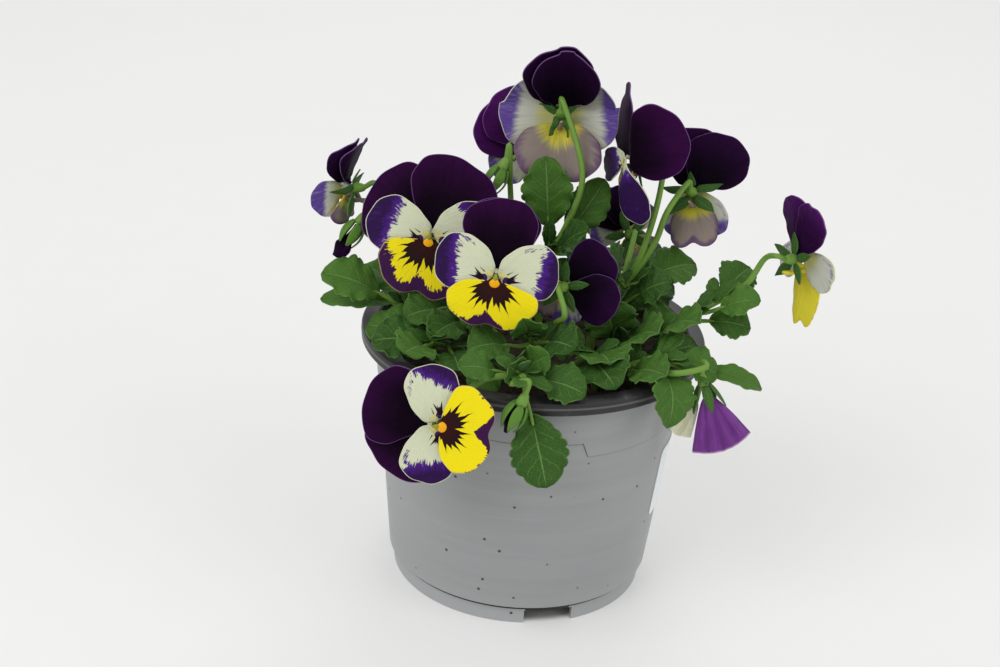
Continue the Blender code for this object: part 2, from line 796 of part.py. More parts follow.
FACING_LEFT = Bloom(
    "bloom_facing_left",
    (22.3, 2, 135.8),
    -84,
    -2,
    0,
    0.98,
    (27, 150),
    (-56, 209),
    (68, -8, 0, 0),
    lengths=(1.03, 1.16, 1.3),
    widths=(1, 0.62, 0.9),
    points=12,
)
FACING_AWAY = Bloom(
    "bloom_facing_away",
    (46, 16, 121.5),
    160,
    -30,
    -14,
    0.82,
    (94, 130),
    (-60, -120),
    (-20, -20, 20, 0),
    lengths=(1, 1, 1.4),
    widths=(1, 0.8, 0.62),
)
FAR_RIGHT = Bloom(
    "bloom_far_right",
    (78.5, -5, 112),
    125,
    -6,
    -8,
    0.8,
    (72, 116),
    (-22, 211),
    (-20, 0, 0, 0),
    lengths=(0.9, 0.95, 1.85),
    widths=(0.72, 0.82, 0.6),
    ahead=True,
)
FAR_LEFT = Bloom(
    "bloom_far_left",
    (-62, 11, 118),
    -100,
    -6,
    0,
    0.66,
    (84, 96),
    (-25, 200),
    (-60, 0, 20, 0),
    widths=(1, 1, 0.8),
)
RIGHT_BACK = Bloom("bloom_right_back", (8.5, -13.5, 102), 165, -10, 74, 0.66, (58, 122), (56, 200))
BEHIND = Bloom("bloom_behind", (27, 27, 104), 190, -12, -25, 0.6)
WILTED = Bloom("bloom_wilted", (51.3, -32, 76), 60, -70, -20, kind="spent")
HANGING_BUD = Bloom("bud_hanging", (-5, -58, 79), -70, -65, kind="closed")
NODDING_BUD = Bloom("bud_nodding", (-15, 8, 124), -60, -62, kind="closed")
DARK_BUD = Bloom("bud_dark", (-57, 0, 106.5), -60, -55, kind="closed")

OPEN_BLOOMS = (
    FRONT,
    FRONT_LEFT,
    RIM,
    TOP,
    TOP_LEFT,
    FACING_LEFT,
    FACING_AWAY,
    FAR_RIGHT,
    FAR_LEFT,
    RIGHT_BACK,
    BEHIND,
)

STEMS = (
    Stem(
        "stem_left",
        [(-17, -2, 66), (-17, -2, 77), (-26, -3, 85), (-39, -5, 88)],
        [
            Leaf(0.95, (-64, -9, 98), 16, 0.35, teeth=4),
            Leaf(1.0, (-65, -3, 87), 9, 0.15),
            Leaf(0.8, (-54, 14, 92), 14),
            Leaf(0.6, (-36, 14, 96), 14, teeth=2),
            Leaf(0.5, (-38, 2, 82), 12, teeth=2),
        ],
        [
            Stalk(0.9, [(-45, 6, 98), (-48, 9, 112)], FAR_LEFT),
            Stalk(0.75, [(-43, -2, 97), (-46, 0, 107)], DARK_BUD),
        ],
    ),
    Stem(
        "stem_front_left",
        [(-18, -16, 66), (-18, -16, 76), (-23, -20, 82), (-29, -24, 85)],
        [
            Leaf(0.7, (-50, -12, 84), 16, 0.3),
            Leaf(0.9, (-47, -27, 86), 16, 0.25, teeth=4),
            Leaf(1.0, (-37, -38, 87), 15, 0.3, teeth=4),
            Leaf(0.8, (-21, -38, 83), 14, 0.3),
        ],
        [],
    ),
    Stem(
        "stem_centre_left",
        [(-9, -6, 66), (-9, -6, 77), (-15, -9, 86), (-22, -10, 93)],
        [
            Leaf(0.95, (-38, -21, 91), 14, 0.4),
            Leaf(0.7, (-20, -24, 91), 13, 0.4),
            Leaf(0.8, (-30, -29, 89), 13, 0.3),
        ],
        [Stalk(0.9, [(-28, -4, 102)], FRONT_LEFT)],
    ),
    Stem(
        "stem_front",
        [(-3, -22, 66), (-3, -22, 76), (-4, -37, 84), (-3, -51.5, 89)],
        [
            Leaf(0.85, (-21, -52, 91), 11, 0.4),
            Leaf(0.9, (-7, -53, 93), 9, 0.4, (0, -1, 0.5)),
            Leaf(0.98, (6, -63, 61), 17, 0.33, (0, -1, 0.2), 4, -0.06),
            Leaf(0.8, (15, -49, 84), 14, 0.3, (0, -0.6, 1)),
            Leaf(0.7, (4, -46, 94), 10, 0.3, (0, -1, 0.6)),
            Leaf(0.5, (-18, -42, 80), 12, 0.4, teeth=2),
        ],
        [
            Stalk(0.9, [(-13, -50, 87), (-19, -52, 83)], RIM),
            Stalk(1.0, [(-6, -53, 87.5)], HANGING_BUD),
        ],
    ),
    Stem(
        "stem_centre",
        [(0, -12, 66), (0, -12, 77), (0, -20, 84), (-1, -26, 90)],
        [
            Leaf(0.9, (11, -38, 93), 15, 0.35, (0.2, -0.8, 0.8), 4),
            Leaf(1.0, (-4, -38, 100), 10, 0.3, (0, -1, 0.2)),
            Leaf(0.8, (-19, -35, 89), 14, 0.4, teeth=4),
            Leaf(0.5, (15, -19, 86), 14, 0.35, teeth=2),
        ],
        [
            Stalk(0.95, [(-4, -21, 98)], FRONT),
            Stalk(0.6, [(5, -22, 92), (8, -30, 99)], RIGHT_BACK),
        ],
    ),
    Stem(
        "stem_back_centre",
        [(1, 4, 66), (1, 4, 77), (2, 6, 92), (3, 7, 106)],
        [
            Leaf(0.95, (0, 6, 134), 16, 0.25, (0, -1, 0.1), 4, 0.04),
            Leaf(0.9, (14, -3, 115), 12, 0.3),
            Leaf(0.85, (18.5, 13, 125.5), 13, 0.35, (0, -1, 0.2)),
            Leaf(0.6, (-12, 2, 106), 14, 0.35),
            Leaf(0.4, (12, 14, 98), 15, 0.3, (0, -0.7, 1)),
            Leaf(0.35, (-14, 16, 92), 15, 0.3, (0, -0.7, 1)),
        ],
        [
            Stalk(0.9, [(8, 6, 114), (11, 6, 130)], TOP),
            Stalk(0.75, [(-8, 9, 112), (-10, 10, 121)], NODDING_BUD),
        ],
    ),
    Stem(
        "stem_back_right",
        [(18, 4, 66), (18, 4, 77), (24, 4, 88), (28, 3, 98)],
        [
            Leaf(0.9, (20, -6, 110), 14, 0.35),
            Leaf(0.95, (48, 10, 102), 15, 0.3),
            Leaf(0.7, (40, -1, 100), 14, 0.35),
            Leaf(0.5, (42, 18, 92), 16, 0.3, teeth=4),
            Leaf(0.4, (24, 22, 92), 15, 0.3, teeth=2),
        ],
        [
            Stalk(1.0, [(31, 2, 108), (34, 2, 125)], FACING_LEFT),
            Stalk(0.95, [(34, 2, 110), (37, 2, 121)], FACING_AWAY),
            Stalk(0.75, [(27, 9, 99)], BEHIND),
        ],
    ),
    Stem(
        "stem_right",
        [(22, -8, 66), (22, -8, 77), (32, -10, 86), (44, -10, 92), (56, -8, 99)],
        [
            Leaf(0.9, (63, 0, 106), 13, 0.35),
            Leaf(0.8, (65, -16, 102), 12, 0.4),
            Leaf(0.75, (64, -12, 91), 13, 0.35),
            Leaf(0.55, (47, -26, 98), 14, 0.35),
            Leaf(0.35, (36, -26, 94), 16, 0.25, (0, -0.7, 1), 4),
            Leaf(0.3, (20, -12, 97), 17, 0.2, (0, -1, 0.4)),
            Leaf(0.4, (44, 2, 87), 16, 0.3, teeth=4),
        ],
        [Stalk(1.0, [(62, -8, 104), (66, -8, 112)], FAR_RIGHT)],
    ),
    Stem(
        "stem_right_front",
        [(19, -22, 66), (19, -22, 76), (28, -27, 83), (37, -29, 88)],
        [
            Leaf(0.95, (40, -43, 72), 15, 0.12, (0.5, -0.6, 0.8), 4, 0.25),
            Leaf(1.0, (54, -26, 82), 13, 0.3, (0.6, -0.5, 0.8)),
            Leaf(0.95, (69, -19, 75), 7.5, 0.42),
            Leaf(0.6, (38, -40, 87), 14, 0.25, (0, -0.6, 1), 4),
            Leaf(0.7, (49, -14, 85), 14, 0.3),
            Leaf(0.4, (33, -19, 80), 13, 0.3, teeth=2),
        ],
        [Stalk(0.7, [(40, -36, 86), (49, -35, 88)], WILTED)],
    ),
    Stem(
        "stem_centre_right",
        [(9, -24, 66), (9, -24, 76), (13, -26, 82), (18, -26, 86)],
        [
            Leaf(1.0, (22, -39, 89), 18, 0.05, (0, -0.3, 1), 4),
            Leaf(0.9, (23, -44, 84.5), 17, 0.15, (0, -0.7, 0.8), 4),
            Leaf(0.6, (12, -42, 82), 14, 0.25, (0, -0.6, 1)),
        ],
        [],
    ),
    Stem(
        "stem_back_left",
        [(-13, 17, 66), (-13, 17, 77), (-18, 22, 86), (-22, 25, 96)],
        [
            Leaf(0.95, (-42, 26, 98), 15, 0.35),
            Leaf(0.8, (-32, 42, 88), 15, 0.35, teeth=2),
            Leaf(0.9, (-20, 40, 104), 13, 0.4, teeth=2),
            Leaf(0.5, (-38, 14, 86), 15, 0.3, teeth=2),
            Leaf(0.6, (-8, 38, 92), 14, 0.3, teeth=2),
        ],
        [Stalk(0.9, [(-20, 32, 106), (-16, 34, 118)], TOP_LEFT)],
    ),
    Stem(
        "stem_back",
        [(12, 24, 66), (12, 24, 77), (15, 28, 86), (18, 30, 92)],
        [
            Leaf(0.95, (40, 34, 96), 15, 0.35, teeth=2),
            Leaf(0.9, (6, 52, 90), 15, 0.35, teeth=2),
            Leaf(0.8, (28, 52, 84), 14, 0.4, teeth=2),
            Leaf(1.0, (18, 46, 108), 13, 0.35, teeth=2),
        ],
        [],
    ),
)


def main():
    clear_scene()
    make_pot()
    make_soil(STEMS)
    make_label()
    for stem in STEMS:
        make_stem(stem)
    for bloom in OPEN_BLOOMS:
        make_upper_petals(bloom)
        make_side_petals(bloom)
        make_lower_petal(bloom)
    make_wilted_petals(WILTED)
    make_bud_tip(HANGING_BUD, 8.5, (0.8, 1.7, 1.7, 0.5), UPPER_PURPLE)
    make_bud_tip(DARK_BUD, 11.5, (0.8, 1.1, 2.7, 1.6), UPPER_PURPLE)


main()
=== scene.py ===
# %% [markdown]
# A potted horned violet. The packed CAD part is the fixed frame: its solids give every size and place.
# Here each solid is replaced by a finer piece of the same form, with thin petals, veined leaves, a
# satin pot and damp soil. Sizes are written in millimetres and multiplied by MM where a mesh is made.

# %% Load the frame
import json
import math
import random
from collections import namedtuple

import bpy
from mathutils import Matrix, Vector, noise

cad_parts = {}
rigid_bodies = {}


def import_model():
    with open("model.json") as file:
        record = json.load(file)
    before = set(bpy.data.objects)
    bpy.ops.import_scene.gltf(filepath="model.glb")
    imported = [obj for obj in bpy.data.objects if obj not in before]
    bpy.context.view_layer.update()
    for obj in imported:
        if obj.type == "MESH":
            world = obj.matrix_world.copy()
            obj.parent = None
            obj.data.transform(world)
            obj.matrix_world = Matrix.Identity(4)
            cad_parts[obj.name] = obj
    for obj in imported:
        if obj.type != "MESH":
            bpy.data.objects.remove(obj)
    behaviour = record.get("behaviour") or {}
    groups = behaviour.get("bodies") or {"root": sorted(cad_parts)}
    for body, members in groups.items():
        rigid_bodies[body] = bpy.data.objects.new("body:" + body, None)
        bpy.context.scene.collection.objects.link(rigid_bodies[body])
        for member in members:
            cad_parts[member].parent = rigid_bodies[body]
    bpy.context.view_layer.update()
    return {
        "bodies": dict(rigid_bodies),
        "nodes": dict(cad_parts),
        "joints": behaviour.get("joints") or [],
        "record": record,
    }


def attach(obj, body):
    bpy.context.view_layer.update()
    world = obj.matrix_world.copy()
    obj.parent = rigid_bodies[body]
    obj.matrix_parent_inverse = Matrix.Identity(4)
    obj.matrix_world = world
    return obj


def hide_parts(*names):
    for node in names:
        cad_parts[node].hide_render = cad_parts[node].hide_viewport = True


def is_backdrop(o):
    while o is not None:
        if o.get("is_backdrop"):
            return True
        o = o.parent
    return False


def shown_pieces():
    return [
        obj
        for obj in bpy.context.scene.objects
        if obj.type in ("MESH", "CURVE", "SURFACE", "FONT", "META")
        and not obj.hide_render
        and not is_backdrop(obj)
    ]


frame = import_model()
MM = 0.001
print("nodes in the frame:", len(frame["nodes"]))

# %% [markdown]
# The camera comes first, because everything is judged through it. The pot is seen from a little
# above, and the photographer held the camera with a slight roll, so the camera's axes are built from
# those angles and written straight into its matrix.

# %% Camera
AIM = Vector((-10.1, 0.0, 78.2))
EYE_DISTANCE = 551.0
EYE_ELEVATION = math.radians(24.6)
EYE_ROLL = math.radians(4.05)
EYE_LENS = 64.8


def linked(name, data):
    """A new object that holds this data, linked to the scene."""
    made = bpy.data.objects.new(name, data)
    bpy.context.scene.collection.objects.link(made)
    return made


def add_camera():
    back = Vector((0, -math.cos(EYE_ELEVATION), math.sin(EYE_ELEVATION)))
    level = Vector((1, 0, 0))
    rise = back.cross(level)
    right = level * math.cos(EYE_ROLL) + rise * math.sin(EYE_ROLL)
    up = rise * math.cos(EYE_ROLL) - level * math.sin(EYE_ROLL)
    lens = bpy.data.cameras.new("camera")
    lens.lens = EYE_LENS
    camera = linked("camera", lens)
    turned = Matrix((right, up, back)).transposed().to_4x4()
    camera.matrix_world = Matrix.Translation((AIM + back * EYE_DISTANCE) * MM) @ turned
    bpy.context.scene.camera = camera


add_camera()
print("camera distance:", EYE_DISTANCE, "mm")

# %% [markdown]
# A material is a small graph of nodes. Writing each node by hand takes many lines, so this helper
# keeps one material and offers a short call for each kind of node that the finishes below use. Each
# call returns the output socket of its node, so that calls can be put inside one another like sums.


# %% Helper for the finishes
class Finish:
    """One material, with the value of each named socket of its shader set at the start."""

    def __init__(self, name, roughness, **sockets):
        self.material = bpy.data.materials.new(name)
        self.material.use_nodes = True
        self.tree = self.material.node_tree
        self.shader = self.tree.nodes["Principled BSDF"]
        self.feed(self.shader.inputs["Roughness"], roughness)
        for socket, value in sockets.items():
            self.feed(self.shader.inputs[socket.replace("_", " ")], value)

    def feed(self, socket, value):
        """Links an output to this socket, or writes a plain number or colour on it."""
        if isinstance(value, bpy.types.NodeSocket):
            self.tree.links.new(value, socket)
        elif socket.type == "RGBA" and len(value) == 3:
            socket.default_value = (*value, 1)
        else:
            socket.default_value = value

    def node(self, kind, values=(), **settings):
        made = self.tree.nodes.new("ShaderNode" + kind)
        for setting, value in settings.items():
            setattr(made, setting, value)
        for socket, value in values:
            self.feed(made.inputs[socket], value)
        return made

    def sum(self, operation, a, b=0.0, c=0.0):
        return self.node("Math", [(0, a), (1, b), (2, c)], operation=operation).outputs[0]

    def plus(self, a, b):
        return self.sum("ADD", a, b)

    def times(self, a, b):
        return self.sum("MULTIPLY", a, b)

    def swing(self, share, width):
        """A value from 0 to 1 as a swing of this width about 0."""
        return self.times(self.plus(share, -0.5), width)

    def step(self, value, low, high, to_low=0.0, to_high=1.0):
        """A soft step from to_low to to_high while value goes from low to high."""
        values = [(0, value), (1, low), (2, high), (3, to_low), (4, to_high)]
        return self.node("MapRange", values, interpolation_type="SMOOTHSTEP").outputs[0]

    def mix(self, share, a, b):
        """Colour a where share is 0, colour b where it is 1, and a blend between."""
        made = self.node("Mix", data_type="RGBA")
        for socket, value in ((0, share), (6, a), (7, b)):
            self.feed(made.inputs[socket], value)
        return made.outputs[2]

    def place(self):
        return self.node("TexCoord").outputs["Object"]

    def stretched(self, vector, scale):
        return self.node("Mapping", [("Vector", vector), ("Scale", scale)]).outputs[0]

    def vector(self, operation, values, output=0):
        return self.node("VectorMath", values, operation=operation).outputs[output]

    def apart(self, vector):
        return self.node("SeparateXYZ", [(0, vector)]).outputs

    def joined(self, x, y, z=0.0):
        return self.node("CombineXYZ", [(0, x), (1, y), (2, z)]).outputs[0]

    def cloud(self, vector, scale, detail=3.0, roughness=0.5):
        """Soft noise from 0 to 1."""
        values = [("Vector", vector), ("Scale", scale), ("Detail", detail), ("Roughness", roughness)]
        return self.node("TexNoise", values).outputs[0]

    def cells(self, vector, scale, feature="F1", output="Distance"):
        values = [("Vector", vector), ("Scale", scale)]
        return self.node("TexVoronoi", values, feature=feature).outputs[output]

    def uv(self):
        return self.apart(self.node("UVMap", uv_map="UVMap").outputs[0])

    def mark(self, name):
        """The value that was written on each point of the mesh under this name."""
        return self.node("Attribute", attribute_name=name).outputs["Fac"]

    def bump(self, height, distance):
        bump = self.node("Bump", [("Height", height), ("Distance", distance * MM)])
        self.feed(self.shader.inputs["Normal"], bump.outputs[0])

    def colour(self, value):
        """Feeds the base colour and hands the finished material over."""
        self.feed(self.shader.inputs["Base Color"], value)
        return self.material


print("calls of the helper:", sum(not call.startswith("_") for call in vars(Finish)))

# %% [markdown]
# Studio: the plant stands on a wide sheet of pale paper. The light is large and soft from all round,
# with one brighter softbox above the left shoulder, so there is only a faint shadow at the foot. The
# paper also has a painted glow, which stands in for light bounced round the room; within a circle
# under the pot the glow is left out, as a painted shadow.

# %% Floor and light
PAPER_SIZE = 6.0
PAPER_PAINTED_GLOW = 0.28
PAINTED_SHADOW_RADIUS = 36 * MM
SKY_WHITE = (1.0, 1.0, 1.0)
SKY_STRENGTH = 0.56
SOFTBOX_AIM = Vector((0, 0, 0.08))
SOFTBOXES = {
    "key_softbox": ((-0.7, -0.7, 1.0), 0.9, 6.6),
    "fill_softbox": ((0.9, -0.5, 0.8), 0.9, 3.0),
    "back_softbox": ((0.1, 0.9, 1.0), 0.8, 3.0),
}


def paper_white():
    """Pale paper with a painted glow for light bounced round the room, left out within a circle under the
    pot as a painted shadow.
    """
    # Painted light: the paper glows, standing in for light bounced round the room.
    finish = Finish("paper_white", 0.9, Emission_Strength=PAPER_PAINTED_GLOW)
    from_middle = finish.vector("LENGTH", [(0, finish.place())], 1)
    # Painted shadow: no glow within a circle under the pot.
    outside_painted_shadow = finish.step(from_middle, PAINTED_SHADOW_RADIUS, PAINTED_SHADOW_RADIUS + 3 * MM)
    glow = finish.mix(outside_painted_shadow, (0.0, 0.0, 0.0), (1.0, 1.0, 0.99))
    finish.feed(finish.shader.inputs["Emission Color"], glow)
    fibres = finish.cloud(finish.place(), 40, 4)
    return finish.colour(finish.mix(fibres, (0.595, 0.60, 0.595), (0.62, 0.62, 0.61)))


def add_softbox(name, place, size, power):
    """A round soft light at this place, which looks at the pot."""
    data = bpy.data.lights.new(name, "AREA")
    data.shape = "DISK"
    data.size = size
    data.energy = power
    softbox = linked(name, data)
    softbox.location = place
    softbox.rotation_euler = (SOFTBOX_AIM - Vector(place)).to_track_quat("-Z", "Y").to_euler()


def set_stage():
    bpy.ops.object.select_all(action="DESELECT")
    bpy.ops.mesh.primitive_plane_add(size=PAPER_SIZE)
    paper = bpy.context.object
    paper.name = "paper"
    paper.data.materials.append(paper_white())
    paper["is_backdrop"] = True
    world = bpy.data.worlds.new("sky")
    world.use_nodes = True
    sky = world.node_tree.nodes["Background"]
    sky.inputs[0].default_value = (*SKY_WHITE, 1)
    sky.inputs[1].default_value = SKY_STRENGTH
    bpy.context.scene.world = world
    bpy.context.scene.view_settings.view_transform = "Standard"
    for name, (place, size, power) in SOFTBOXES.items():
        add_softbox(name, place, size, power)


set_stage()
print("softboxes:", len(bpy.data.lights))

# %% [markdown]
# Small tools for the hand: one selects objects, one adds a flat grid of squares, one copies a model,
# one applies a modifier, and one joins pieces into one. In Blender an operator acts on whatever is
# selected, so each tool clears the selection first.


# %% Tools for the hand
def pick(*objects):
    bpy.ops.object.select_all(action="DESELECT")
    for found in objects:
        found.select_set(True)
    bpy.context.view_layer.objects.active = objects[0]
    return objects[0]


def add_grid(name, columns, rows):
    """A flat grid of squares from -1 to 1 on both axes: the start of whatever is a sheet."""
    bpy.ops.object.select_all(action="DESELECT")
    bpy.ops.mesh.primitive_grid_add(x_subdivisions=columns, y_subdivisions=rows, size=2)
    bpy.context.object.name = name
    return bpy.context.object


def copied(name, model):
    """A copy of the model with its own mesh."""
    return linked(name, model.data.copy())


def finish_with(piece, kind, **settings):
    """Adds a modifier with these settings and applies it."""
    pick(piece)
    modifier = piece.modifiers.new(kind.title(), kind)
    for setting, value in settings.items():
        setattr(modifier, setting, value)
    bpy.ops.object.modifier_apply(modifier=modifier.name)
    return piece


def join(name, pieces):
    """Joins the pieces into the first, smooth all over, with this name."""
    pick(*pieces)
    if len(pieces) > 1:
        bpy.ops.object.join()
    bpy.ops.object.shade_smooth()
    bpy.context.object.name = name
    bpy.context.object.data.name = name
    return bpy.context.object


def settle(piece, slot, *nodes):
    """Says what the piece rides on and which solids it stands for; its slot is not used."""
    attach(piece, "root")
    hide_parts(*nodes)
    print(piece.name, "faces:", len(piece.data.polygons))


# %% [markdown]
# The pot: a thin blown and trimmed shell with a rolled rim, a shoulder that stacks the pots, a foot
# ring with three drainage notches, and holes in its floor. It could be a profile turned on an axis;
# here it starts as a disc, and its edge is extruded and scaled ring by ring, as by hand, because each
# ring then stays easy to move: the shoulder's step drops a little on one half of the pot.

# %% Pot sizes
POT_SIDES = 144
RIM_RADIUS = 52.5
POT_HEIGHT = 81.5
UNDER_RIM = 77.5
SKIRT_THICKNESS = 1.3
WALL_TOP_RADIUS = 48.2
WALL_FOOT_RADIUS = 41.0
WALL_THICKNESS = 1.2
INNER_FOOT_RADIUS = WALL_FOOT_RADIUS - WALL_THICKNESS - 0.4
SHOULDER_Z = 60.8
SHOULDER_STEP = 0.5
SHOULDER_RISE = 4.7
SHOULDER_FROM = math.radians(20.5)
SHOULDER_TO = math.radians(196)
FOOT_RADIUS = 39.3
FOOT_HEIGHT = 6.0
FOOT_THICKNESS = 1.6
PAD_RADIUS = 9.0
FLOOR_Z = 3.0
FLOOR_THICKNESS = 1.5


def wall_radius(height):
    """Outer radius of the tapered wall, in millimetres."""
    share = (height - FOOT_HEIGHT) / (UNDER_RIM - FOOT_HEIGHT)
    return WALL_FOOT_RADIUS + (WALL_TOP_RADIUS - SHOULDER_STEP - WALL_FOOT_RADIUS) * share


def shoulder(low, high):
    """The rings of the step in the wall: a fine groove below it, its ledge, and the wall above."""
    profile = ((0, -0.45), (-0.18, -0.12), (0.05, -0.02), (high - 0.05, 0.12), (high, 0.6))
    return [(wall_radius(low) + grow, low + rise) for grow, rise in profile]


POT_RINGS = [
    (PAD_RADIUS, FLOOR_Z),
    (FOOT_RADIUS - FOOT_THICKNESS, FLOOR_Z),
    (FOOT_RADIUS - FOOT_THICKNESS, 0.0),
    (FOOT_RADIUS - 0.3, 0.0),
    (FOOT_RADIUS, 0.3),
    (FOOT_RADIUS + 0.25, FOOT_HEIGHT - 0.9),
    (FOOT_RADIUS + 0.05, FOOT_HEIGHT - 0.5),
    (FOOT_RADIUS + 0.1, FOOT_HEIGHT - 0.1),
    (WALL_FOOT_RADIUS - 0.3, FOOT_HEIGHT + 0.35),
    (WALL_FOOT_RADIUS, FOOT_HEIGHT + 0.8),
    (wall_radius(24), 24.0),
    (wall_radius(44), 44.0),
    *shoulder(SHOULDER_Z, SHOULDER_STEP),
    (WALL_TOP_RADIUS - 0.15, UNDER_RIM - 1.2),
    (WALL_TOP_RADIUS, UNDER_RIM + 2.4),
    (RIM_RADIUS - SKIRT_THICKNESS, UNDER_RIM + 2.4),
    (RIM_RADIUS - SKIRT_THICKNESS, UNDER_RIM + 0.2),
    (RIM_RADIUS - 1.0, UNDER_RIM),
    (RIM_RADIUS - 0.4, UNDER_RIM),
    (RIM_RADIUS - 0.2, UNDER_RIM + 0.25),
    (RIM_RADIUS - 0.3, UNDER_RIM + 1.5),
    (RIM_RADIUS - 0.05, UNDER_RIM + 1.9),
    (RIM_RADIUS - 0.1, POT_HEIGHT - 0.9),
    (RIM_RADIUS - 0.45, POT_HEIGHT - 0.25),
    (RIM_RADIUS - 1.1, POT_HEIGHT),
    (WALL_TOP_RADIUS - 0.3, POT_HEIGHT),
    (WALL_TOP_RADIUS - 0.9, POT_HEIGHT - 0.5),
    (WALL_TOP_RADIUS - 1.2, POT_HEIGHT - 2.0),
    (INNER_FOOT_RADIUS, FLOOR_Z + FLOOR_THICKNESS),
]
print("rings on the pot:", len(POT_RINGS))

# %% [markdown]
# The pot is drawn up in edit mode: the edge of a disc is extruded to the next ring's height, and scaled
# to its radius about the axis, over and over. What has to be open is then cut with Booleans. A cutter
# is a plain box or cylinder that is removed once it has cut.

# %% Pot shell
NOTCH_AZIMUTHS = (15.5, 135.5, 255.5)
NOTCH_SIZE = Vector((15.0, 6.0, 8.6))
DRAIN_AZIMUTHS = (34, 94, 154, 214, 274, 334)
DRAIN_SPREAD = 25.0
DRAIN_RADIUS = 3.5
DRAIN_DEPTH = 4.0


def draw_up_rings(rings, start_radius, start_height):
    """In edit mode, extrudes the selected edge loop through the rings, each a radius and a height."""
    radius, height = start_radius, start_height
    for next_radius, next_height in rings:
        rise = (0, 0, (next_height - height) * MM)
        bpy.ops.mesh.extrude_edges_move(TRANSFORM_OT_translate={"value": rise})
        grow = next_radius / radius
        bpy.ops.transform.resize(value=(grow, grow, 1), center_override=(0, 0, next_height * MM))
        radius, height = next_radius, next_height


def start_disc(name, radius, sides):
    bpy.ops.object.select_all(action="DESELECT")
    bpy.ops.mesh.primitive_circle_add(vertices=sides, radius=radius * MM, fill_type="NGON")
    disc = bpy.context.object
    disc.name = name
    bpy.ops.object.mode_set(mode="EDIT")
    bpy.ops.mesh.select_all(action="SELECT")
    return disc


def close_up():
    """Fills the last loop and turns every face outwards, then leaves edit mode."""
    bpy.ops.mesh.edge_face_add()
    bpy.ops.mesh.select_all(action="SELECT")
    bpy.ops.mesh.normals_make_consistent(inside=False)
    bpy.ops.object.mode_set(mode="OBJECT")


def drill(piece, cutters):
    """Cuts the cutters out of the piece, then removes them."""
    for cutter in cutters:
        pick(cutter)
        bpy.ops.object.transform_apply(location=True, rotation=True, scale=True)
        finish_with(piece, "BOOLEAN", operation="DIFFERENCE", object=cutter, solver="EXACT")
        bpy.data.objects.remove(cutter, do_unlink=True)


def around(azimuth, radius, height):
    """A point round the pot's axis, in metres. Azimuth 0 is the front and 90 the right side."""
    turn = math.radians(azimuth)
    return Vector((math.sin(turn) * radius, -math.cos(turn) * radius, height)) * MM


def pot_cutters():
    cutters = []
    for azimuth in NOTCH_AZIMUTHS:
        spot = around(azimuth, FOOT_RADIUS - 1, 0.3)
        bpy.ops.mesh.primitive_cube_add(size=1, location=spot, rotation=(0, 0, math.radians(azimuth)))
        bpy.context.object.scale = NOTCH_SIZE * MM
        cutters.append(bpy.context.object)
    for azimuth in DRAIN_AZIMUTHS:
        spot = around(azimuth, DRAIN_SPREAD, FLOOR_Z + 0.7)
        radius, depth = DRAIN_RADIUS * MM, DRAIN_DEPTH * MM
        bpy.ops.mesh.primitive_cylinder_add(vertices=24, radius=radius, depth=depth, location=spot)
        cutters.append(bpy.context.object)
    return cutters


def lift_shoulder(pot):
    """Raises the shoulder's rings on one half of the pot, so that its step has two levels."""
    for vertex in pot.data.vertices:
        x, y, z = vertex.co / MM
        on_step = SHOULDER_Z - 0.5 < z < SHOULDER_Z + 0.7
        if on_step and not SHOULDER_FROM < math.atan2(x, -y) % math.tau < SHOULDER_TO:
            vertex.co.z += SHOULDER_RISE * MM
            grow = wall_radius(z + SHOULDER_RISE) / wall_radius(z)
            vertex.co.x *= grow
            vertex.co.y *= grow


def make_pot():
    pot = start_disc("pot_shell", PAD_RADIUS, POT_SIDES)
    draw_up_rings(POT_RINGS, PAD_RADIUS, 0.0)
    close_up()
    lift_shoulder(pot)
    drill(pot, pot_cutters())
    return pot


pot = make_pot()
pick(pot)
bpy.ops.object.shade_smooth_by_angle(angle=math.radians(32))
print("pot faces:", len(pot.data.polygons))

# %% [markdown]
# The plastic is a satin grey outside and almost black inside and on the rim, as on pots blown from
# two layers. The satin has faint bands round it, a few scuffs, and specks of soil that splashed on in
# the nursery. The bands change its roughness and are also painted into its grey as painted sheen; they
# are noise that is squeezed along the height only.


# %% Pot finishes
SPECK_SCALE = 200
# Height of the painted highlight line round the rim's outer face.
HIGHLIGHT_LINE_HEIGHT = UNDER_RIM + 2.2


def grey_plastic():
    finish = Finish("grey_plastic", 0.42, Specular_IOR_Level=0.45)
    place = finish.place()
    bands = finish.cloud(finish.stretched(place, (8, 8, 260)), 1.0, 3)
    streaks = finish.cloud(finish.stretched(place, (30, 30, 700)), 1.0, 4)
    patches = finish.cloud(place, 22, 3)
    # Painted sheen: the bands make the grey lighter and darker.
    grey = finish.mix(bands, (0.275, 0.285, 0.289), (0.352, 0.362, 0.367))
    grey = finish.mix(finish.step(streaks, 0.55, 0.8, 0, 0.14), grey, (0.45, 0.47, 0.49))
    grey = finish.mix(finish.step(patches, 0.55, 0.75, 0, 0.25), grey, (0.247, 0.256, 0.264))
    speck = finish.cells(place, SPECK_SCALE)
    chosen = finish.cells(place, SPECK_SCALE, output="Color")
    lucky = finish.step(finish.apart(chosen)[0], 0.50, 0.51)
    dots = finish.times(finish.step(speck, 0.13, 0.07), lucky)
    # Painted light: the grey is lighter towards the foot, where the wall faces a little down and gets less
    # light.
    foot = finish.step(finish.apart(place)[2], 16 * MM, 0, 0, 0.5)
    grey = finish.mix(foot, grey, (0.44, 0.455, 0.46))
    grey = finish.mix(dots, grey, (0.06, 0.045, 0.03))
    finish.feed(finish.shader.inputs["Roughness"], finish.step(bands, 0.2, 0.8, 0.36, 0.5))
    grain = finish.cloud(place, 900, 2)
    finish.bump(finish.plus(finish.times(bands, 0.8), finish.times(grain, 0.25)), 0.08)
    return finish.colour(grey)


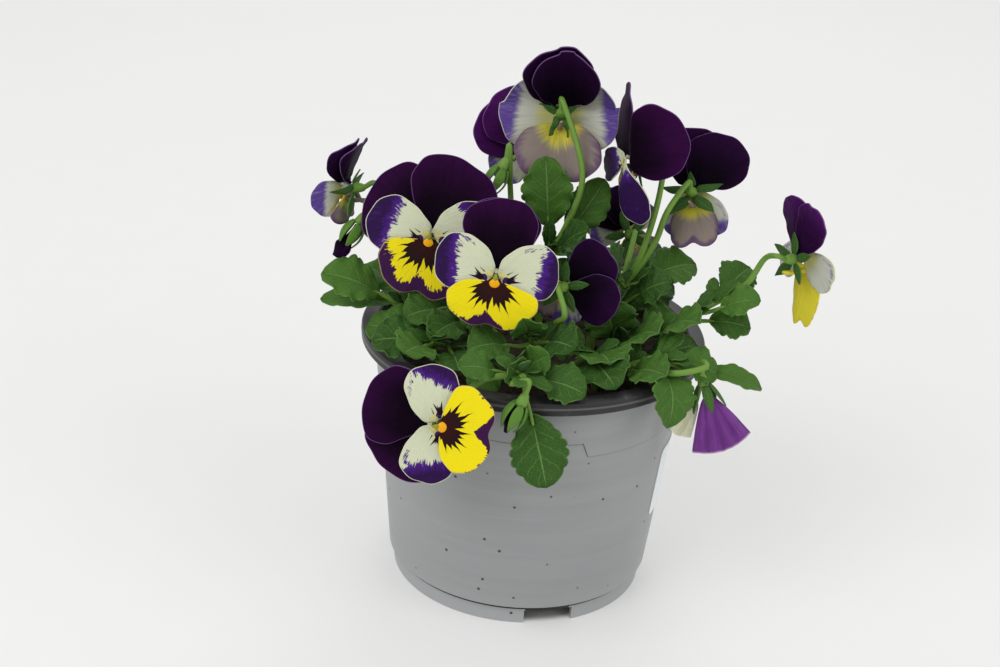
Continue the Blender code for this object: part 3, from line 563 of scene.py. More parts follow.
def dark_plastic():
    finish = Finish("dark_plastic", 0.42, Specular_IOR_Level=0.4)
    place = finish.place()
    worn = finish.cloud(place, 60, 5, 0.6)
    dust = finish.cloud(place, 420, 3)
    black = finish.mix(worn, (0.011, 0.011, 0.012), (0.032, 0.031, 0.032))
    black = finish.mix(finish.step(dust, 0.6, 0.8, 0, 0.5), black, (0.13, 0.12, 0.11))
    # Painted highlight: a pale line round the rim's outer face.
    off_line = finish.sum("ABSOLUTE", finish.plus(finish.apart(place)[2], -HIGHLIGHT_LINE_HEIGHT * MM))
    painted_highlight_line = finish.step(off_line, 0.45 * MM, 0.15 * MM, 0, 0.55)
    black = finish.mix(painted_highlight_line, black, (0.17, 0.165, 0.16))
    finish.bump(worn, 0.12)
    return finish.colour(black)


def paint_pot(pot):
    """Grey outside, dark inside and on the rim, face by face."""
    pot.data.materials.append(grey_plastic())
    pot.data.materials.append(dark_plastic())
    for face in pot.data.polygons:
        x, y, z = face.center / MM
        inside = z > FLOOR_Z + 1 and math.hypot(x, y) < wall_radius(z) - 0.6
        face.material_index = 1 if z > UNDER_RIM - 0.4 or inside else 0


paint_pot(pot)
settle(pot, "grey_plastic", "pot")

# %% [markdown]
# The blank label: a slip of white film stuck to the side of the wall. It starts as a flat grid the
# size of the slip, is rolled round the wall point by point, and gets its thickness last.

# %% Label
LABEL_LOW = 28.0
LABEL_HIGH = 52.0
LABEL_FROM = 66.0
LABEL_TO = 110.0
LABEL_GAP = 0.16
LABEL_THICKNESS = 0.3
LABEL_CORNER = 1.6
LABEL_ROLL = wall_radius(34)


def make_label():
    label = add_grid("label", 40, 24)
    half_wide = math.radians(LABEL_TO - LABEL_FROM) / 2 * LABEL_ROLL
    half_tall = (LABEL_HIGH - LABEL_LOW) / 2
    for vertex in label.data.vertices:
        x, y = vertex.co.x * half_wide, vertex.co.y * half_tall
        over_x = max(0, abs(x) - half_wide + LABEL_CORNER)
        over_y = max(0, abs(y) - half_tall + LABEL_CORNER)
        if min(over_x, over_y) > 0:
            pull = max(over_x, over_y) / math.hypot(over_x, over_y)
            x -= math.copysign(over_x * (1 - pull), x)
            y -= math.copysign(over_y * (1 - pull), y)
        height = (LABEL_LOW + LABEL_HIGH) / 2 + y
        azimuth = (LABEL_FROM + LABEL_TO) / 2 + math.degrees(x / LABEL_ROLL)
        vertex.co = around(azimuth, wall_radius(height) + LABEL_GAP, height)
    finish_with(label, "SOLIDIFY", thickness=LABEL_THICKNESS * MM, offset=0)
    return join("label_slip", [label])


def label_white():
    finish = Finish("label_white", 0.3, Specular_IOR_Level=0.5)
    place = finish.place()
    haze = finish.cloud(place, 45, 3)
    white = finish.mix(haze, (0.78, 0.83, 0.86), (0.86, 0.89, 0.90))
    finish.bump(finish.cloud(place, 160, 2), 0.05)
    return finish.colour(white)


label = make_label()
label.data.materials.append(label_white())
settle(label, "label_white", "blank_label")

# %% [markdown]
# Soil: a peat mix, dark and crumbly, with a hole where each stem comes out. It starts as a grid of
# squares drawn onto a disc. Layers of noise lift its points into clods, and the disc's edge is then
# extruded down into a root ball, so that it is a solid and not a sheet.

# %% Soil
SOIL_TOP = 74.0
SOIL_EDGE_Z = SOIL_TOP - 0.4
SOIL_GAP = 0.3
SOIL_STEPS = 110
STEM_RADIUS = 1.35
HOLE_GAP = 0.35
HOLE_DEPTH = 18.0
CRUMBS = 240
CRUMB_SPREAD = 44.0
CLEAR_OF_STEMS = 3.2
STEM_FEET = (
    (-17, -2), (-18, -16), (-9, -6), (-3, -22), (0, -12), (1, 4),
    (18, 4), (22, -8), (19, -22), (9, -24), (-13, 17), (12, 24),
)


def inner_radius(height):
    """Inner radius of the pot's wall at this height."""
    low = FLOOR_Z + FLOOR_THICKNESS
    share = (height - low) / (POT_HEIGHT - low)
    top = wall_radius(POT_HEIGHT) - WALL_THICKNESS + SHOULDER_STEP
    return INNER_FOOT_RADIUS + (top - INNER_FOOT_RADIUS) * share


def disc_grid(name, steps):
    """A grid of squares whose points are drawn onto a disc of radius 1."""
    disc = add_grid(name, steps, steps)
    for vertex in disc.data.vertices:
        x, y = vertex.co.xy
        vertex.co.x = x * math.sqrt(1 - y * y / 2)
        vertex.co.y = y * math.sqrt(1 - x * x / 2)
    return disc


def clod_height(x, y):
    """How far the soil rises above its level here: slow waves, crumbs and the cracks between them."""
    low = noise.fractal(Vector((x, y, 3.1)) * 0.11, 1.0, 2.0, 3)
    fine = noise.turbulence(Vector((x, y, 8.7)) * 0.33, 3, False)
    crumb = noise.voronoi(Vector((x, y, 0.5)) * 0.55)[0][0]
    return 1.0 * low + 0.9 * fine - 0.9 * crumb


def make_soil():
    soil = disc_grid("peat", SOIL_STEPS)
    edge = inner_radius(SOIL_TOP) - SOIL_GAP - 0.1
    for vertex in soil.data.vertices:
        x, y = vertex.co.xy * edge
        away = math.hypot(x, y) / edge
        height = SOIL_EDGE_Z + clod_height(x, y) * min(1, (1 - away) * 12)
        vertex.co = Vector((x, y, height)) * MM
    pick(soil)
    bpy.ops.object.mode_set(mode="EDIT")
    bpy.ops.mesh.select_all(action="SELECT")
    bpy.ops.mesh.region_to_loop()
    floor = FLOOR_Z + FLOOR_THICKNESS + SOIL_GAP
    draw_up_rings([(inner_radius(floor) - SOIL_GAP - 0.1, floor)], edge, SOIL_EDGE_Z)
    close_up()
    cutters = []
    for x, y in STEM_FEET:
        spot = Vector((x, y, SOIL_TOP)) * MM
        radius, depth = (STEM_RADIUS + HOLE_GAP) * MM, HOLE_DEPTH * MM
        bpy.ops.mesh.primitive_cylinder_add(vertices=14, radius=radius, depth=depth, location=spot)
        cutters.append(bpy.context.object)
    drill(soil, cutters)
    return soil


def make_crumbs(count):
    """Loose crumbs and bits of bark on the soil, sunk half into it."""
    crumbs = random.Random(21)
    bpy.ops.object.select_all(action="DESELECT")
    bpy.ops.mesh.primitive_ico_sphere_add(subdivisions=1, radius=1)
    model = bpy.context.object
    copies = []
    for _ in range(count):
        turn = crumbs.uniform(0, math.tau)
        away = CRUMB_SPREAD * math.sqrt(crumbs.random())
        x, y = away * math.cos(turn), away * math.sin(turn)
        if min(math.dist((x, y), foot) for foot in STEM_FEET) < CLEAR_OF_STEMS:
            continue
        size = crumbs.uniform(0.35, 1.5)
        stretch = Vector((crumbs.uniform(0.7, 1.7), crumbs.uniform(0.6, 1.1), crumbs.uniform(0.5, 0.9)))
        crumb = copied("crumb", model)
        spin = Matrix.Rotation(crumbs.uniform(0, math.tau), 4, "Z")
        spot = Vector((x, y, SOIL_TOP - 0.3 + clod_height(x, y))) * MM
        shape = Matrix.Diagonal((*(stretch * size * MM), 1))
        crumb.data.transform(Matrix.Translation(spot) @ spin @ shape)
        copies.append(crumb)
    bpy.data.objects.remove(model, do_unlink=True)
    return copies


def peat_brown():
    finish = Finish("peat_brown", 0.92, Specular_IOR_Level=0.25)
    place = finish.place()
    clods = finish.cloud(place, 160, 5, 0.65)
    fibres = finish.cloud(finish.stretched(place, (500, 90, 300)), 1.0, 3)
    brown = finish.mix(clods, (0.010, 0.007, 0.005), (0.075, 0.048, 0.030))
    brown = finish.mix(finish.step(fibres, 0.62, 0.72, 0, 0.7), brown, (0.17, 0.11, 0.06))
    finish.bump(finish.plus(clods, finish.times(fibres, 0.5)), 0.6)
    return finish.colour(brown)


soil = join("peat", [make_soil(), *make_crumbs(CRUMBS)])
soil.data.materials.append(peat_brown())
settle(soil, "soil_brown", "soil")

# %% [markdown]
# The plant's plan: every stem, leaf, stalk and bloom has its place here, in millimetres, as in the
# CAD part. A leaf is given by how far up its stem it sits and where its tip ends; petiole is the share
# of that way that is bare, and face is the way its upper side looks. A bloom is given by the point
# of its throat and the way it looks, where azimuth 0 is to the front and 90 to the right. uppers and
# sides are the angles at which those petals stand, and fold bends the bloom back at its right, left,
# top and bottom. lengths and widths make its upper, side and lower petals longer or wider.

# %% Plan of the plant
Leaf = namedtuple("Leaf", "at tip width petiole face teeth arch", defaults=(0.4, (0, -0.6, 1), 3, 0.1))
Stem = namedtuple("Stem", "name path leaves stalks")
Stalk = namedtuple("Stalk", "at through bloom")
Bloom = namedtuple(
    "Bloom",
    "name throat azimuth elevation roll size uppers sides fold lengths widths kind ahead",
    defaults=(0, 1, (75, 105), (18, 162), (0, 0, 0, 0), (1, 1, 1), (1, 1, 1), "open", False),
)

FRONT = Bloom(
    "bloom_front", (-12.5, -26, 108.4), azimuth=2, elevation=22, roll=-6,
    uppers=(95, 89), sides=(7, 173), lengths=(0.88, 0.97, 1.05), widths=(0.95, 1, 1), ahead=True,
)
FRONT_LEFT = Bloom(
    "bloom_front_left", (-32.5, -8.4, 112.4), azimuth=-4, elevation=22, roll=-8, size=1.04,
    uppers=(78, 158), sides=(16, 184), lengths=(0.92, 1, 1.26), widths=(1.1, 1, 1), ahead=True,
)
RIM = Bloom(
    "bloom_rim", (-26.6, -61, 77), azimuth=-2, elevation=14, roll=87, size=0.94,
    uppers=(74, 142), sides=(3, 184), lengths=(0.86, 0.96, 1.23), widths=(1.06, 1, 1), ahead=True,
)
TOP = Bloom(
    "bloom_top", (3.4, 23, 140.5), azimuth=182, elevation=-36, size=1.16, uppers=(87, 93),
    sides=(6, 174), fold=(20, 30, 60, 0), lengths=(1, 0.9, 1.3), widths=(0.9, 1.3, 1),
)
TOP_LEFT = Bloom(
    "bloom_top_left", (-3, 43, 124), azimuth=195, elevation=-20, roll=-50, size=0.85, uppers=(80, 100),
)
FACING_LEFT = Bloom(
    "bloom_facing_left", (22.3, 2, 135.8), azimuth=-84, elevation=-2, size=0.98, uppers=(27, 150),
    sides=(-56, 209), fold=(68, -8, 0, 0), lengths=(1.03, 1.16, 1.3), widths=(1, 0.62, 0.9),
)
FACING_AWAY = Bloom(
    "bloom_facing_away", (46, 16, 121.5), azimuth=160, elevation=-30, roll=-14, size=0.82,
    uppers=(94, 130), sides=(-60, -120), fold=(-20, -20, 20, 0), lengths=(1, 1, 1.4), widths=(1, 0.8, 0.62),
)
FAR_RIGHT = Bloom(
    "bloom_far_right", (78.5, -5, 112), azimuth=125, elevation=-6, roll=-8, size=0.8, uppers=(72, 116),
    sides=(-22, 211), fold=(-20, 0, 0, 0), lengths=(0.9, 0.95, 1.85), widths=(0.72, 0.82, 0.6), ahead=True,
)
FAR_LEFT = Bloom(
    "bloom_far_left", (-62, 11, 118), azimuth=-100, elevation=-6, size=0.66, uppers=(84, 96),
    sides=(-25, 200), fold=(-60, 0, 20, 0), widths=(1, 1, 0.8),
)
RIGHT_BACK = Bloom(
    "bloom_right_back", (8.5, -13.5, 102), azimuth=165, elevation=-10, roll=74, size=0.66,
    uppers=(58, 122), sides=(56, 200),
)
BEHIND = Bloom("bloom_behind", (27, 27, 104), azimuth=190, elevation=-12, roll=-25, size=0.6)
WILTED = Bloom("bloom_wilted", (51.3, -32, 76), azimuth=60, elevation=-70, roll=-20, kind="spent")
HANGING_BUD = Bloom("bud_hanging", (-5, -58, 79), azimuth=-70, elevation=-65, kind="closed")
NODDING_BUD = Bloom("bud_nodding", (-15, 8, 124), azimuth=-60, elevation=-62, kind="closed")
DARK_BUD = Bloom("bud_dark", (-57, 0, 106.5), azimuth=-60, elevation=-55, kind="closed")

OPEN_BLOOMS = (
    FRONT, FRONT_LEFT, RIM, TOP, TOP_LEFT, FACING_LEFT, FACING_AWAY, FAR_RIGHT, FAR_LEFT, RIGHT_BACK, BEHIND,
)

STEMS = (
    Stem(
        "stem_left",
        [(-17, -2, 66), (-17, -2, 77), (-26, -3, 85), (-39, -5, 88)],
        [
            Leaf(0.95, (-64, -9, 98), 16, 0.35, teeth=4),
            Leaf(1.0, (-65, -3, 87), 9, 0.15),
            Leaf(0.8, (-54, 14, 92), 14),
            Leaf(0.6, (-36, 14, 96), 14, teeth=2),
            Leaf(0.5, (-38, 2, 82), 12, teeth=2),
        ],
        [
            Stalk(0.9, [(-45, 6, 98), (-48, 9, 112)], FAR_LEFT),
            Stalk(0.75, [(-43, -2, 97), (-46, 0, 107)], DARK_BUD),
        ],
    ),
    Stem(
        "stem_front_left",
        [(-18, -16, 66), (-18, -16, 76), (-23, -20, 82), (-29, -24, 85)],
        [
            Leaf(0.7, (-50, -12, 84), 16, 0.3),
            Leaf(0.9, (-47, -27, 86), 16, 0.25, teeth=4),
            Leaf(1.0, (-37, -38, 87), 15, 0.3, teeth=4),
            Leaf(0.8, (-21, -38, 83), 14, 0.3),
        ],
        [],
    ),
    Stem(
        "stem_centre_left",
        [(-9, -6, 66), (-9, -6, 77), (-15, -9, 86), (-22, -10, 93)],
        [
            Leaf(0.95, (-38, -21, 91), 14, 0.4),
            Leaf(0.7, (-20, -24, 91), 13, 0.4),
            Leaf(0.8, (-30, -29, 89), 13, 0.3),
        ],
        [Stalk(0.9, [(-28, -4, 102)], FRONT_LEFT)],
    ),
    Stem(
        "stem_front",
        [(-3, -22, 66), (-3, -22, 76), (-4, -37, 84), (-3, -51.5, 89)],
        [
            Leaf(0.85, (-21, -52, 91), 11, 0.4),
            Leaf(0.9, (-7, -53, 93), 9, 0.4, (0, -1, 0.5)),
            Leaf(0.98, (6, -63, 61), 17, 0.33, (0, -1, 0.2), 4, -0.06),
            Leaf(0.8, (15, -49, 84), 14, 0.3, (0, -0.6, 1)),
            Leaf(0.7, (4, -46, 94), 10, 0.3, (0, -1, 0.6)),
            Leaf(0.5, (-18, -42, 80), 12, 0.4, teeth=2),
        ],
        [
            Stalk(0.9, [(-13, -50, 87), (-19, -52, 83)], RIM),
            Stalk(1.0, [(-6, -53, 87.5)], HANGING_BUD),
        ],
    ),
    Stem(
        "stem_centre",
        [(0, -12, 66), (0, -12, 77), (0, -20, 84), (-1, -26, 90)],
        [
            Leaf(0.9, (11, -38, 93), 15, 0.35, (0.2, -0.8, 0.8), 4),
            Leaf(1.0, (-4, -38, 100), 10, 0.3, (0, -1, 0.2)),
            Leaf(0.8, (-19, -35, 89), 14, 0.4, teeth=4),
            Leaf(0.5, (15, -19, 86), 14, 0.35, teeth=2),
        ],
        [
            Stalk(0.95, [(-4, -21, 98)], FRONT),
            Stalk(0.6, [(5, -22, 92), (8, -30, 99)], RIGHT_BACK),
        ],
    ),
    Stem(
        "stem_back_centre",
        [(1, 4, 66), (1, 4, 77), (2, 6, 92), (3, 7, 106)],
        [
            Leaf(0.95, (0, 6, 134), 16, 0.25, (0, -1, 0.1), 4, 0.04),
            Leaf(0.9, (14, -3, 115), 12, 0.3),
            Leaf(0.85, (18.5, 13, 125.5), 13, 0.35, (0, -1, 0.2)),
            Leaf(0.6, (-12, 2, 106), 14, 0.35),
            Leaf(0.4, (12, 14, 98), 15, 0.3, (0, -0.7, 1)),
            Leaf(0.35, (-14, 16, 92), 15, 0.3, (0, -0.7, 1)),
        ],
        [
            Stalk(0.9, [(8, 6, 114), (11, 6, 130)], TOP),
            Stalk(0.75, [(-8, 9, 112), (-10, 10, 121)], NODDING_BUD),
        ],
    ),
    Stem(
        "stem_back_right",
        [(18, 4, 66), (18, 4, 77), (24, 4, 88), (28, 3, 98)],
        [
            Leaf(0.9, (20, -6, 110), 14, 0.35),
            Leaf(0.95, (48, 10, 102), 15, 0.3),
            Leaf(0.7, (40, -1, 100), 14, 0.35),
            Leaf(0.5, (42, 18, 92), 16, 0.3, teeth=4),
            Leaf(0.4, (24, 22, 92), 15, 0.3, teeth=2),
        ],
        [
            Stalk(1.0, [(31, 2, 108), (34, 2, 125)], FACING_LEFT),
            Stalk(0.95, [(34, 2, 110), (37, 2, 121)], FACING_AWAY),
            Stalk(0.75, [(27, 9, 99)], BEHIND),
        ],
    ),
    Stem(
        "stem_right",
        [(22, -8, 66), (22, -8, 77), (32, -10, 86), (44, -10, 92), (56, -8, 99)],
        [
            Leaf(0.9, (63, 0, 106), 13, 0.35),
            Leaf(0.8, (65, -16, 102), 12, 0.4),
            Leaf(0.75, (64, -12, 91), 13, 0.35),
            Leaf(0.55, (47, -26, 98), 14, 0.35),
            Leaf(0.35, (36, -26, 94), 16, 0.25, (0, -0.7, 1), 4),
            Leaf(0.3, (20, -12, 97), 17, 0.2, (0, -1, 0.4)),
            Leaf(0.4, (44, 2, 87), 16, 0.3, teeth=4),
        ],
        [Stalk(1.0, [(62, -8, 104), (66, -8, 112)], FAR_RIGHT)],
    ),
    Stem(
        "stem_right_front",
        [(19, -22, 66), (19, -22, 76), (28, -27, 83), (37, -29, 88)],
        [
            Leaf(0.95, (40, -43, 72), 15, 0.12, (0.5, -0.6, 0.8), 4, 0.25),
            Leaf(1.0, (54, -26, 82), 13, 0.3, (0.6, -0.5, 0.8)),
            Leaf(0.95, (69, -19, 75), 7.5, 0.42),
            Leaf(0.6, (38, -40, 87), 14, 0.25, (0, -0.6, 1), 4),
            Leaf(0.7, (49, -14, 85), 14, 0.3),
            Leaf(0.4, (33, -19, 80), 13, 0.3, teeth=2),
        ],
        [Stalk(0.7, [(40, -36, 86), (49, -35, 88)], WILTED)],
    ),
    Stem(
        "stem_centre_right",
        [(9, -24, 66), (9, -24, 76), (13, -26, 82), (18, -26, 86)],
        [
            Leaf(1.0, (22, -39, 89), 18, 0.05, (0, -0.3, 1), 4),
            Leaf(0.9, (23, -44, 84.5), 17, 0.15, (0, -0.7, 0.8), 4),
            Leaf(0.6, (12, -42, 82), 14, 0.25, (0, -0.6, 1)),
        ],
        [],
    ),
    Stem(
        "stem_back_left",
        [(-13, 17, 66), (-13, 17, 77), (-18, 22, 86), (-22, 25, 96)],
        [
            Leaf(0.95, (-42, 26, 98), 15, 0.35),
            Leaf(0.8, (-32, 42, 88), 15, 0.35, teeth=2),
            Leaf(0.9, (-20, 40, 104), 13, 0.4, teeth=2),
            Leaf(0.5, (-38, 14, 86), 15, 0.3, teeth=2),
            Leaf(0.6, (-8, 38, 92), 14, 0.3, teeth=2),
        ],
        [Stalk(0.9, [(-20, 32, 106), (-16, 34, 118)], TOP_LEFT)],
    ),
    Stem(
        "stem_back",
        [(12, 24, 66), (12, 24, 77), (15, 28, 86), (18, 30, 92)],
        [
            Leaf(0.95, (40, 34, 96), 15, 0.35, teeth=2),
            Leaf(0.9, (6, 52, 90), 15, 0.35, teeth=2),
            Leaf(0.8, (28, 52, 84), 14, 0.4, teeth=2),
            Leaf(1.0, (18, 46, 108), 13, 0.35, teeth=2),
        ],
        [],
    ),
)
print("stems:", len(STEMS), "open blooms:", len(OPEN_BLOOMS))

# %% [markdown]
# Stems grow in soft curves, so each runs on a Catmull-Rom curve through a few points. The tubes are
# curve objects with a round bevel and a radius at each point, which is the usual way to make a stalk;
# they are then turned into meshes.


# %% Tubes
def smooth_path(controls, steps):
    """Points on a Catmull-Rom curve through the control points, steps to each span."""
    points = [Vector(control) for control in controls]
    ends = [points[0] * 2 - points[1], *points, points[-1] * 2 - points[-2]]
    path = []
    for span in range(len(points) - 1):
        before, start, end, after = ends[span : span + 4]
        for step in range(steps):
            t = step / steps
            straight = start * 2 + (end - before) * t
            bent = (before * 2 - start * 5 + end * 4 - after) * t**2
            path.append(0.5 * (straight + bent + (start * 3 - before - end * 3 + after) * t**3))
    path.append(points[-1])
    return path


def along_path(path, share):
    """The point at this share of the path's length."""
    spans = [(b - a).length for a, b in zip(path, path[1:])]
    left = share * sum(spans)
    for start, end, span in zip(path, path[1:], spans):
        if left <= span:
            return start.lerp(end, left / span)
        left -= span
    return path[-1]


def tapered(start, end, count):
    """Radii that go evenly from start to end."""
    return [start + (end - start) * place / (count - 1) for place in range(count)]


def tube(path, radii, resolution=2):
    """A closed round tube along the path, as a mesh."""
    curve = bpy.data.curves.new("tube", "CURVE")
    curve.dimensions = "3D"
    curve.bevel_depth = MM
    curve.bevel_resolution = resolution
    curve.use_fill_caps = True
    spline = curve.splines.new("POLY")
    spline.points.add(len(path) - 1)
    for point, spot, radius in zip(spline.points, path, radii):
        point.co = (*(Vector(spot) * MM), 1)
        point.radius = radius
    pick(linked("tube", curve))
    bpy.ops.object.convert(target="MESH")
    return bpy.context.object


print("points on the path of the first stem:", len(smooth_path(STEMS[0].path, 7)))

# %% [markdown]
# A bloom has its own frame: x to its right, y up to its upper petals and z out of its face. A reflexed
# bloom is made flat first, and then the space round it is bent back, which bends petals and sepals
# together and never lets them cross.


# %% Frame of a bloom
FOLD_START = 2.0
FOLD_RADIUS = 6.0


def bloom_frame(bloom):
    """The matrix that takes a point of the bloom's own frame to the pot's, both in millimetres."""
    azimuth, elevation, roll = (math.radians(a) for a in (bloom.azimuth, bloom.elevation, bloom.roll))
    level = math.cos(elevation)
    out = Vector((math.sin(azimuth) * level, -math.cos(azimuth) * level, math.sin(elevation)))
    up = (Vector((0, 0, 1)) - out * out.z).normalized()
    right = up.cross(out)
    turned_up = up * math.cos(roll) - right * math.sin(roll)
    turned_right = right * math.cos(roll) + up * math.sin(roll)
    frame = Matrix((turned_right, turned_up, out)).transposed().to_4x4()
    return Matrix.Translation(Vector(bloom.throat)) @ frame


def folded(point, fold):
    """Bends the space round a bloom back at its right, left, top and bottom, by degrees for each."""
    right, left, top, bottom = (math.radians(angle) for angle in fold)

    def bend(distance, depth, limit):
        past = abs(distance) - FOLD_START
        if past <= 0 or limit == 0:
            return distance, depth
        sign = math.copysign(1, distance)
        turn = min(past / FOLD_RADIUS, abs(limit))
        rest = past - FOLD_RADIUS * turn
        way = math.copysign(1, limit)
        reach = FOLD_RADIUS + way * depth
        out = FOLD_START + reach * math.sin(turn) + rest * math.cos(turn)
        back = reach * math.cos(turn) - FOLD_RADIUS - rest * math.sin(turn)
        return sign * out, way * back

    x, y, z = point
    x, z = bend(x, z, right if x > 0 else left)
    y, z = bend(y, z, top if y > 0 else bottom)
    return Vector((x, y, z))


print("throat of the front bloom:", tuple(round(part, 1) for part in bloom_frame(FRONT).translation))

# %% [markdown]
# Leaves: a spoon-shaped blade with round lobes along its edge, a sunk midrib and quilted flesh between
# the side veins. One grid of squares is the blank for all of them. Each leaf is a copy of it whose
# points are laid on the leaf's own arch, and a Solidify modifier gives it its thickness and a
# second, paler finish for the underside.

# %% Leaf blades
LEAF_ROWS = 30
LEAF_COLUMNS = 12
SMALL_ROWS = 12
SMALL_COLUMNS = 6
LEAF_THICKNESS = 0.32
LOBE_DEPTH = 0.11
random_leaf = random.Random(5)


def lobe_place(share):
    """How far along the lobed part of the edge this share of the length is, from 0 to 1."""
    return max(0.0, (share - 0.10) / 0.84) ** (1 / 0.95)


def leaf_breadth(share, lobes):
    """Half breadth of the blade at this share of its length, as a share of its half width."""
    full = max(0.0, math.sin(math.pi * min(1, share**1.15 * 0.94 + 0.03))) ** 0.75
    narrow = min(1, share / 0.05) ** 0.5 * min(1, (1 - share) / 0.012 + 1e-6) ** 0.5
    phase = lobe_place(share) * lobes
    notch = abs(math.cos(math.pi * phase)) ** 5 if 0.5 < phase < lobes - 0.5 else 0
    return full * narrow * (1 - LOBE_DEPTH * notch)


def leaf_point(base, tip, width, face, arch, share, breadth, lobes, drift):
    """The place of a point of the blank, at this share of the length and breadth, on its leaf."""
    along = tip - base
    length = along.length
    along = along / length
    normal = Vector(face)
    normal = (normal - along * normal.dot(along)).normalized()
    across = along.cross(normal)
    half = leaf_breadth(share, lobes) * width / 2
    side = abs(breadth)
    lift = arch * length * 4 * share * (1 - share) + 0.16 * side * half
    rib = -0.045 * width * math.exp(-((side * half / (0.045 * width)) ** 2)) * (1 - share)
    vein = math.sin(math.pi * (lobe_place(max(0, share - 0.28 * side)) * lobes)) ** 2
    quilt = 0.022 * width * vein * min(1, side * 3) * (1 - side**4)
    ripple = 0.05 * width * side**3 * math.sin(math.tau * (lobe_place(share) * lobes / 2 + drift[0]))
    droop = -drift[1] * length * share**2.2
    sway = drift[2] * length * share**2
    spot = base + along * (length * share) + across * (breadth * half + sway)
    return spot + normal * (lift + rib + quilt + ripple + droop)


def leaf_shade_and_tone(tip):
    """Painted light and shade with some random tone: from 0 for a dark leaf low in the middle, in shade, to
    1 for a lit one high up or far out.
    """
    outer = math.hypot(tip.x, tip.y) / 60
    higher = (tip.z - 78) / 45
    return max(0.0, min(1.0, 0.45 * outer**2 + 0.2 * higher + random_leaf.uniform(-0.2, 0.45)))


def leaf_blade(blank, base, tip, width, face, lobes, arch):
    """A copy of the blank, laid as this leaf."""
    blade = copied("blade", blank)
    mesh = blade.data
    drift = (random_leaf.random(), random_leaf.uniform(-0.01, 0.05), random_leaf.uniform(-0.03, 0.03))
    tone = mesh.attributes.new("tone", "FLOAT", "POINT")
    # Painted light and shade: the whole leaf gets one value by where it sits, with some random tone.
    shade = leaf_shade_and_tone(tip)
    for vertex in mesh.vertices:
        breadth, share = vertex.co.x, (vertex.co.y + 1) / 2
        vertex.co = leaf_point(base, tip, width, face, arch, share, breadth, lobes, drift) * MM
        tone.data[vertex.index].value = shade
    return blade


print("squares in a leaf:", LEAF_ROWS * LEAF_COLUMNS)

# %% [markdown]
# The calyx holds each bloom from behind: a small green cup with five pointed sepals. A sepal is a
# narrow leaf, so a copy of the small leaf blank with no lobes does. On an open bloom the sepals lie
# against its back; on a bud and on the wilted bloom they arch outwards and close round the petals.

# %% Calyx
# For each kind: the foot and the tip of a sepal, each as distance from the axis and depth, then its
# width, its arch, and how fresh its green is.
CALYX_FRONT = -4.5
CALYX_DEPTH = 6.0
CLAW_START = -4.2
SEPALS = {
    "open": ((1.6, -4.9), (9.6, -5.9), 3.5, 0.05, 0.1),
    "closed": ((2.0, -5.0), (1.9, 3.2), 3.3, -0.13, 0.75),
    "spent": ((1.8, -5.0), (5.1, 2.4), 3.2, -0.03, 0.2),
}


def shape_sepal(blank, frame, fold, turn, start, end, width, arch, fresh):
    """A copy of the blank as the sepal that stands at this turn round the axis."""
    sepal = copied("sepal", blank)
    mesh = sepal.data
    out = Vector((math.cos(turn), math.sin(turn), 0))
    across = Vector((-out.y, out.x, 0))
    first = out * start[0] + Vector((0, 0, start[1]))
    last = out * end[0] + Vector((0, 0, end[1]))
    along = last - first
    normal = across.cross(along).normalized()
    tone = mesh.attributes.new("tone", "FLOAT", "POINT")
    tone.data.foreach_set("value", [fresh] * len(mesh.vertices))
    for vertex in mesh.vertices:
        breadth, share = vertex.co.x, (vertex.co.y + 1) / 2
        swell = math.sin(math.pi * min(1, (share * 0.93 + 0.07) ** 0.85)) ** 0.8
        half = width / 2 * swell * (1 - 0.2 * share)
        lift = 0.15 * (1 - breadth**2) * half - arch * along.length * math.sin(math.pi * share)
        point = first + along * share - across * breadth * half + normal * lift
        vertex.co = frame @ folded(point, fold) * MM
    return sepal


def calyx_pieces(blank, bloom):
    """The five sepals of this bloom, and its cup."""
    frame = bloom_frame(bloom)
    start, end, width, arch, fresh = SEPALS[bloom.kind]
    size = 0.85 if bloom.size < 0.9 else 1.0
    cup = [frame @ Vector((0, 0, depth)) for depth in (-8.6, -8.2, -7.2, -6.0, -5.0, CALYX_FRONT)]
    pieces = []
    for place in range(5):
        turn = math.radians(90 + 72 * place)
        reach = end if bloom.kind != "open" else (end[0] * size, end[1])
        pieces.append(shape_sepal(blank, frame, bloom.fold, turn, start, reach, width * size, arch, fresh))
    return pieces, tube(cup, (0.4, 1.0, 1.4, 1.6, 1.8, 1.5), 4)


print("kinds of calyx:", len(SEPALS))

# %% [markdown]
# The finish of a leaf reads the UV map that came with the blank: u runs across the blade and v along
# it. So the midrib is a line at the middle of u, the side veins are slanted bands of v, and Voronoi
# cells give the fine net between them. The mark "tone" makes leaves high up or far out brighter than
# those low in the middle, as painted light and shade with some random tone; on sepals it is how fresh
# their green is.


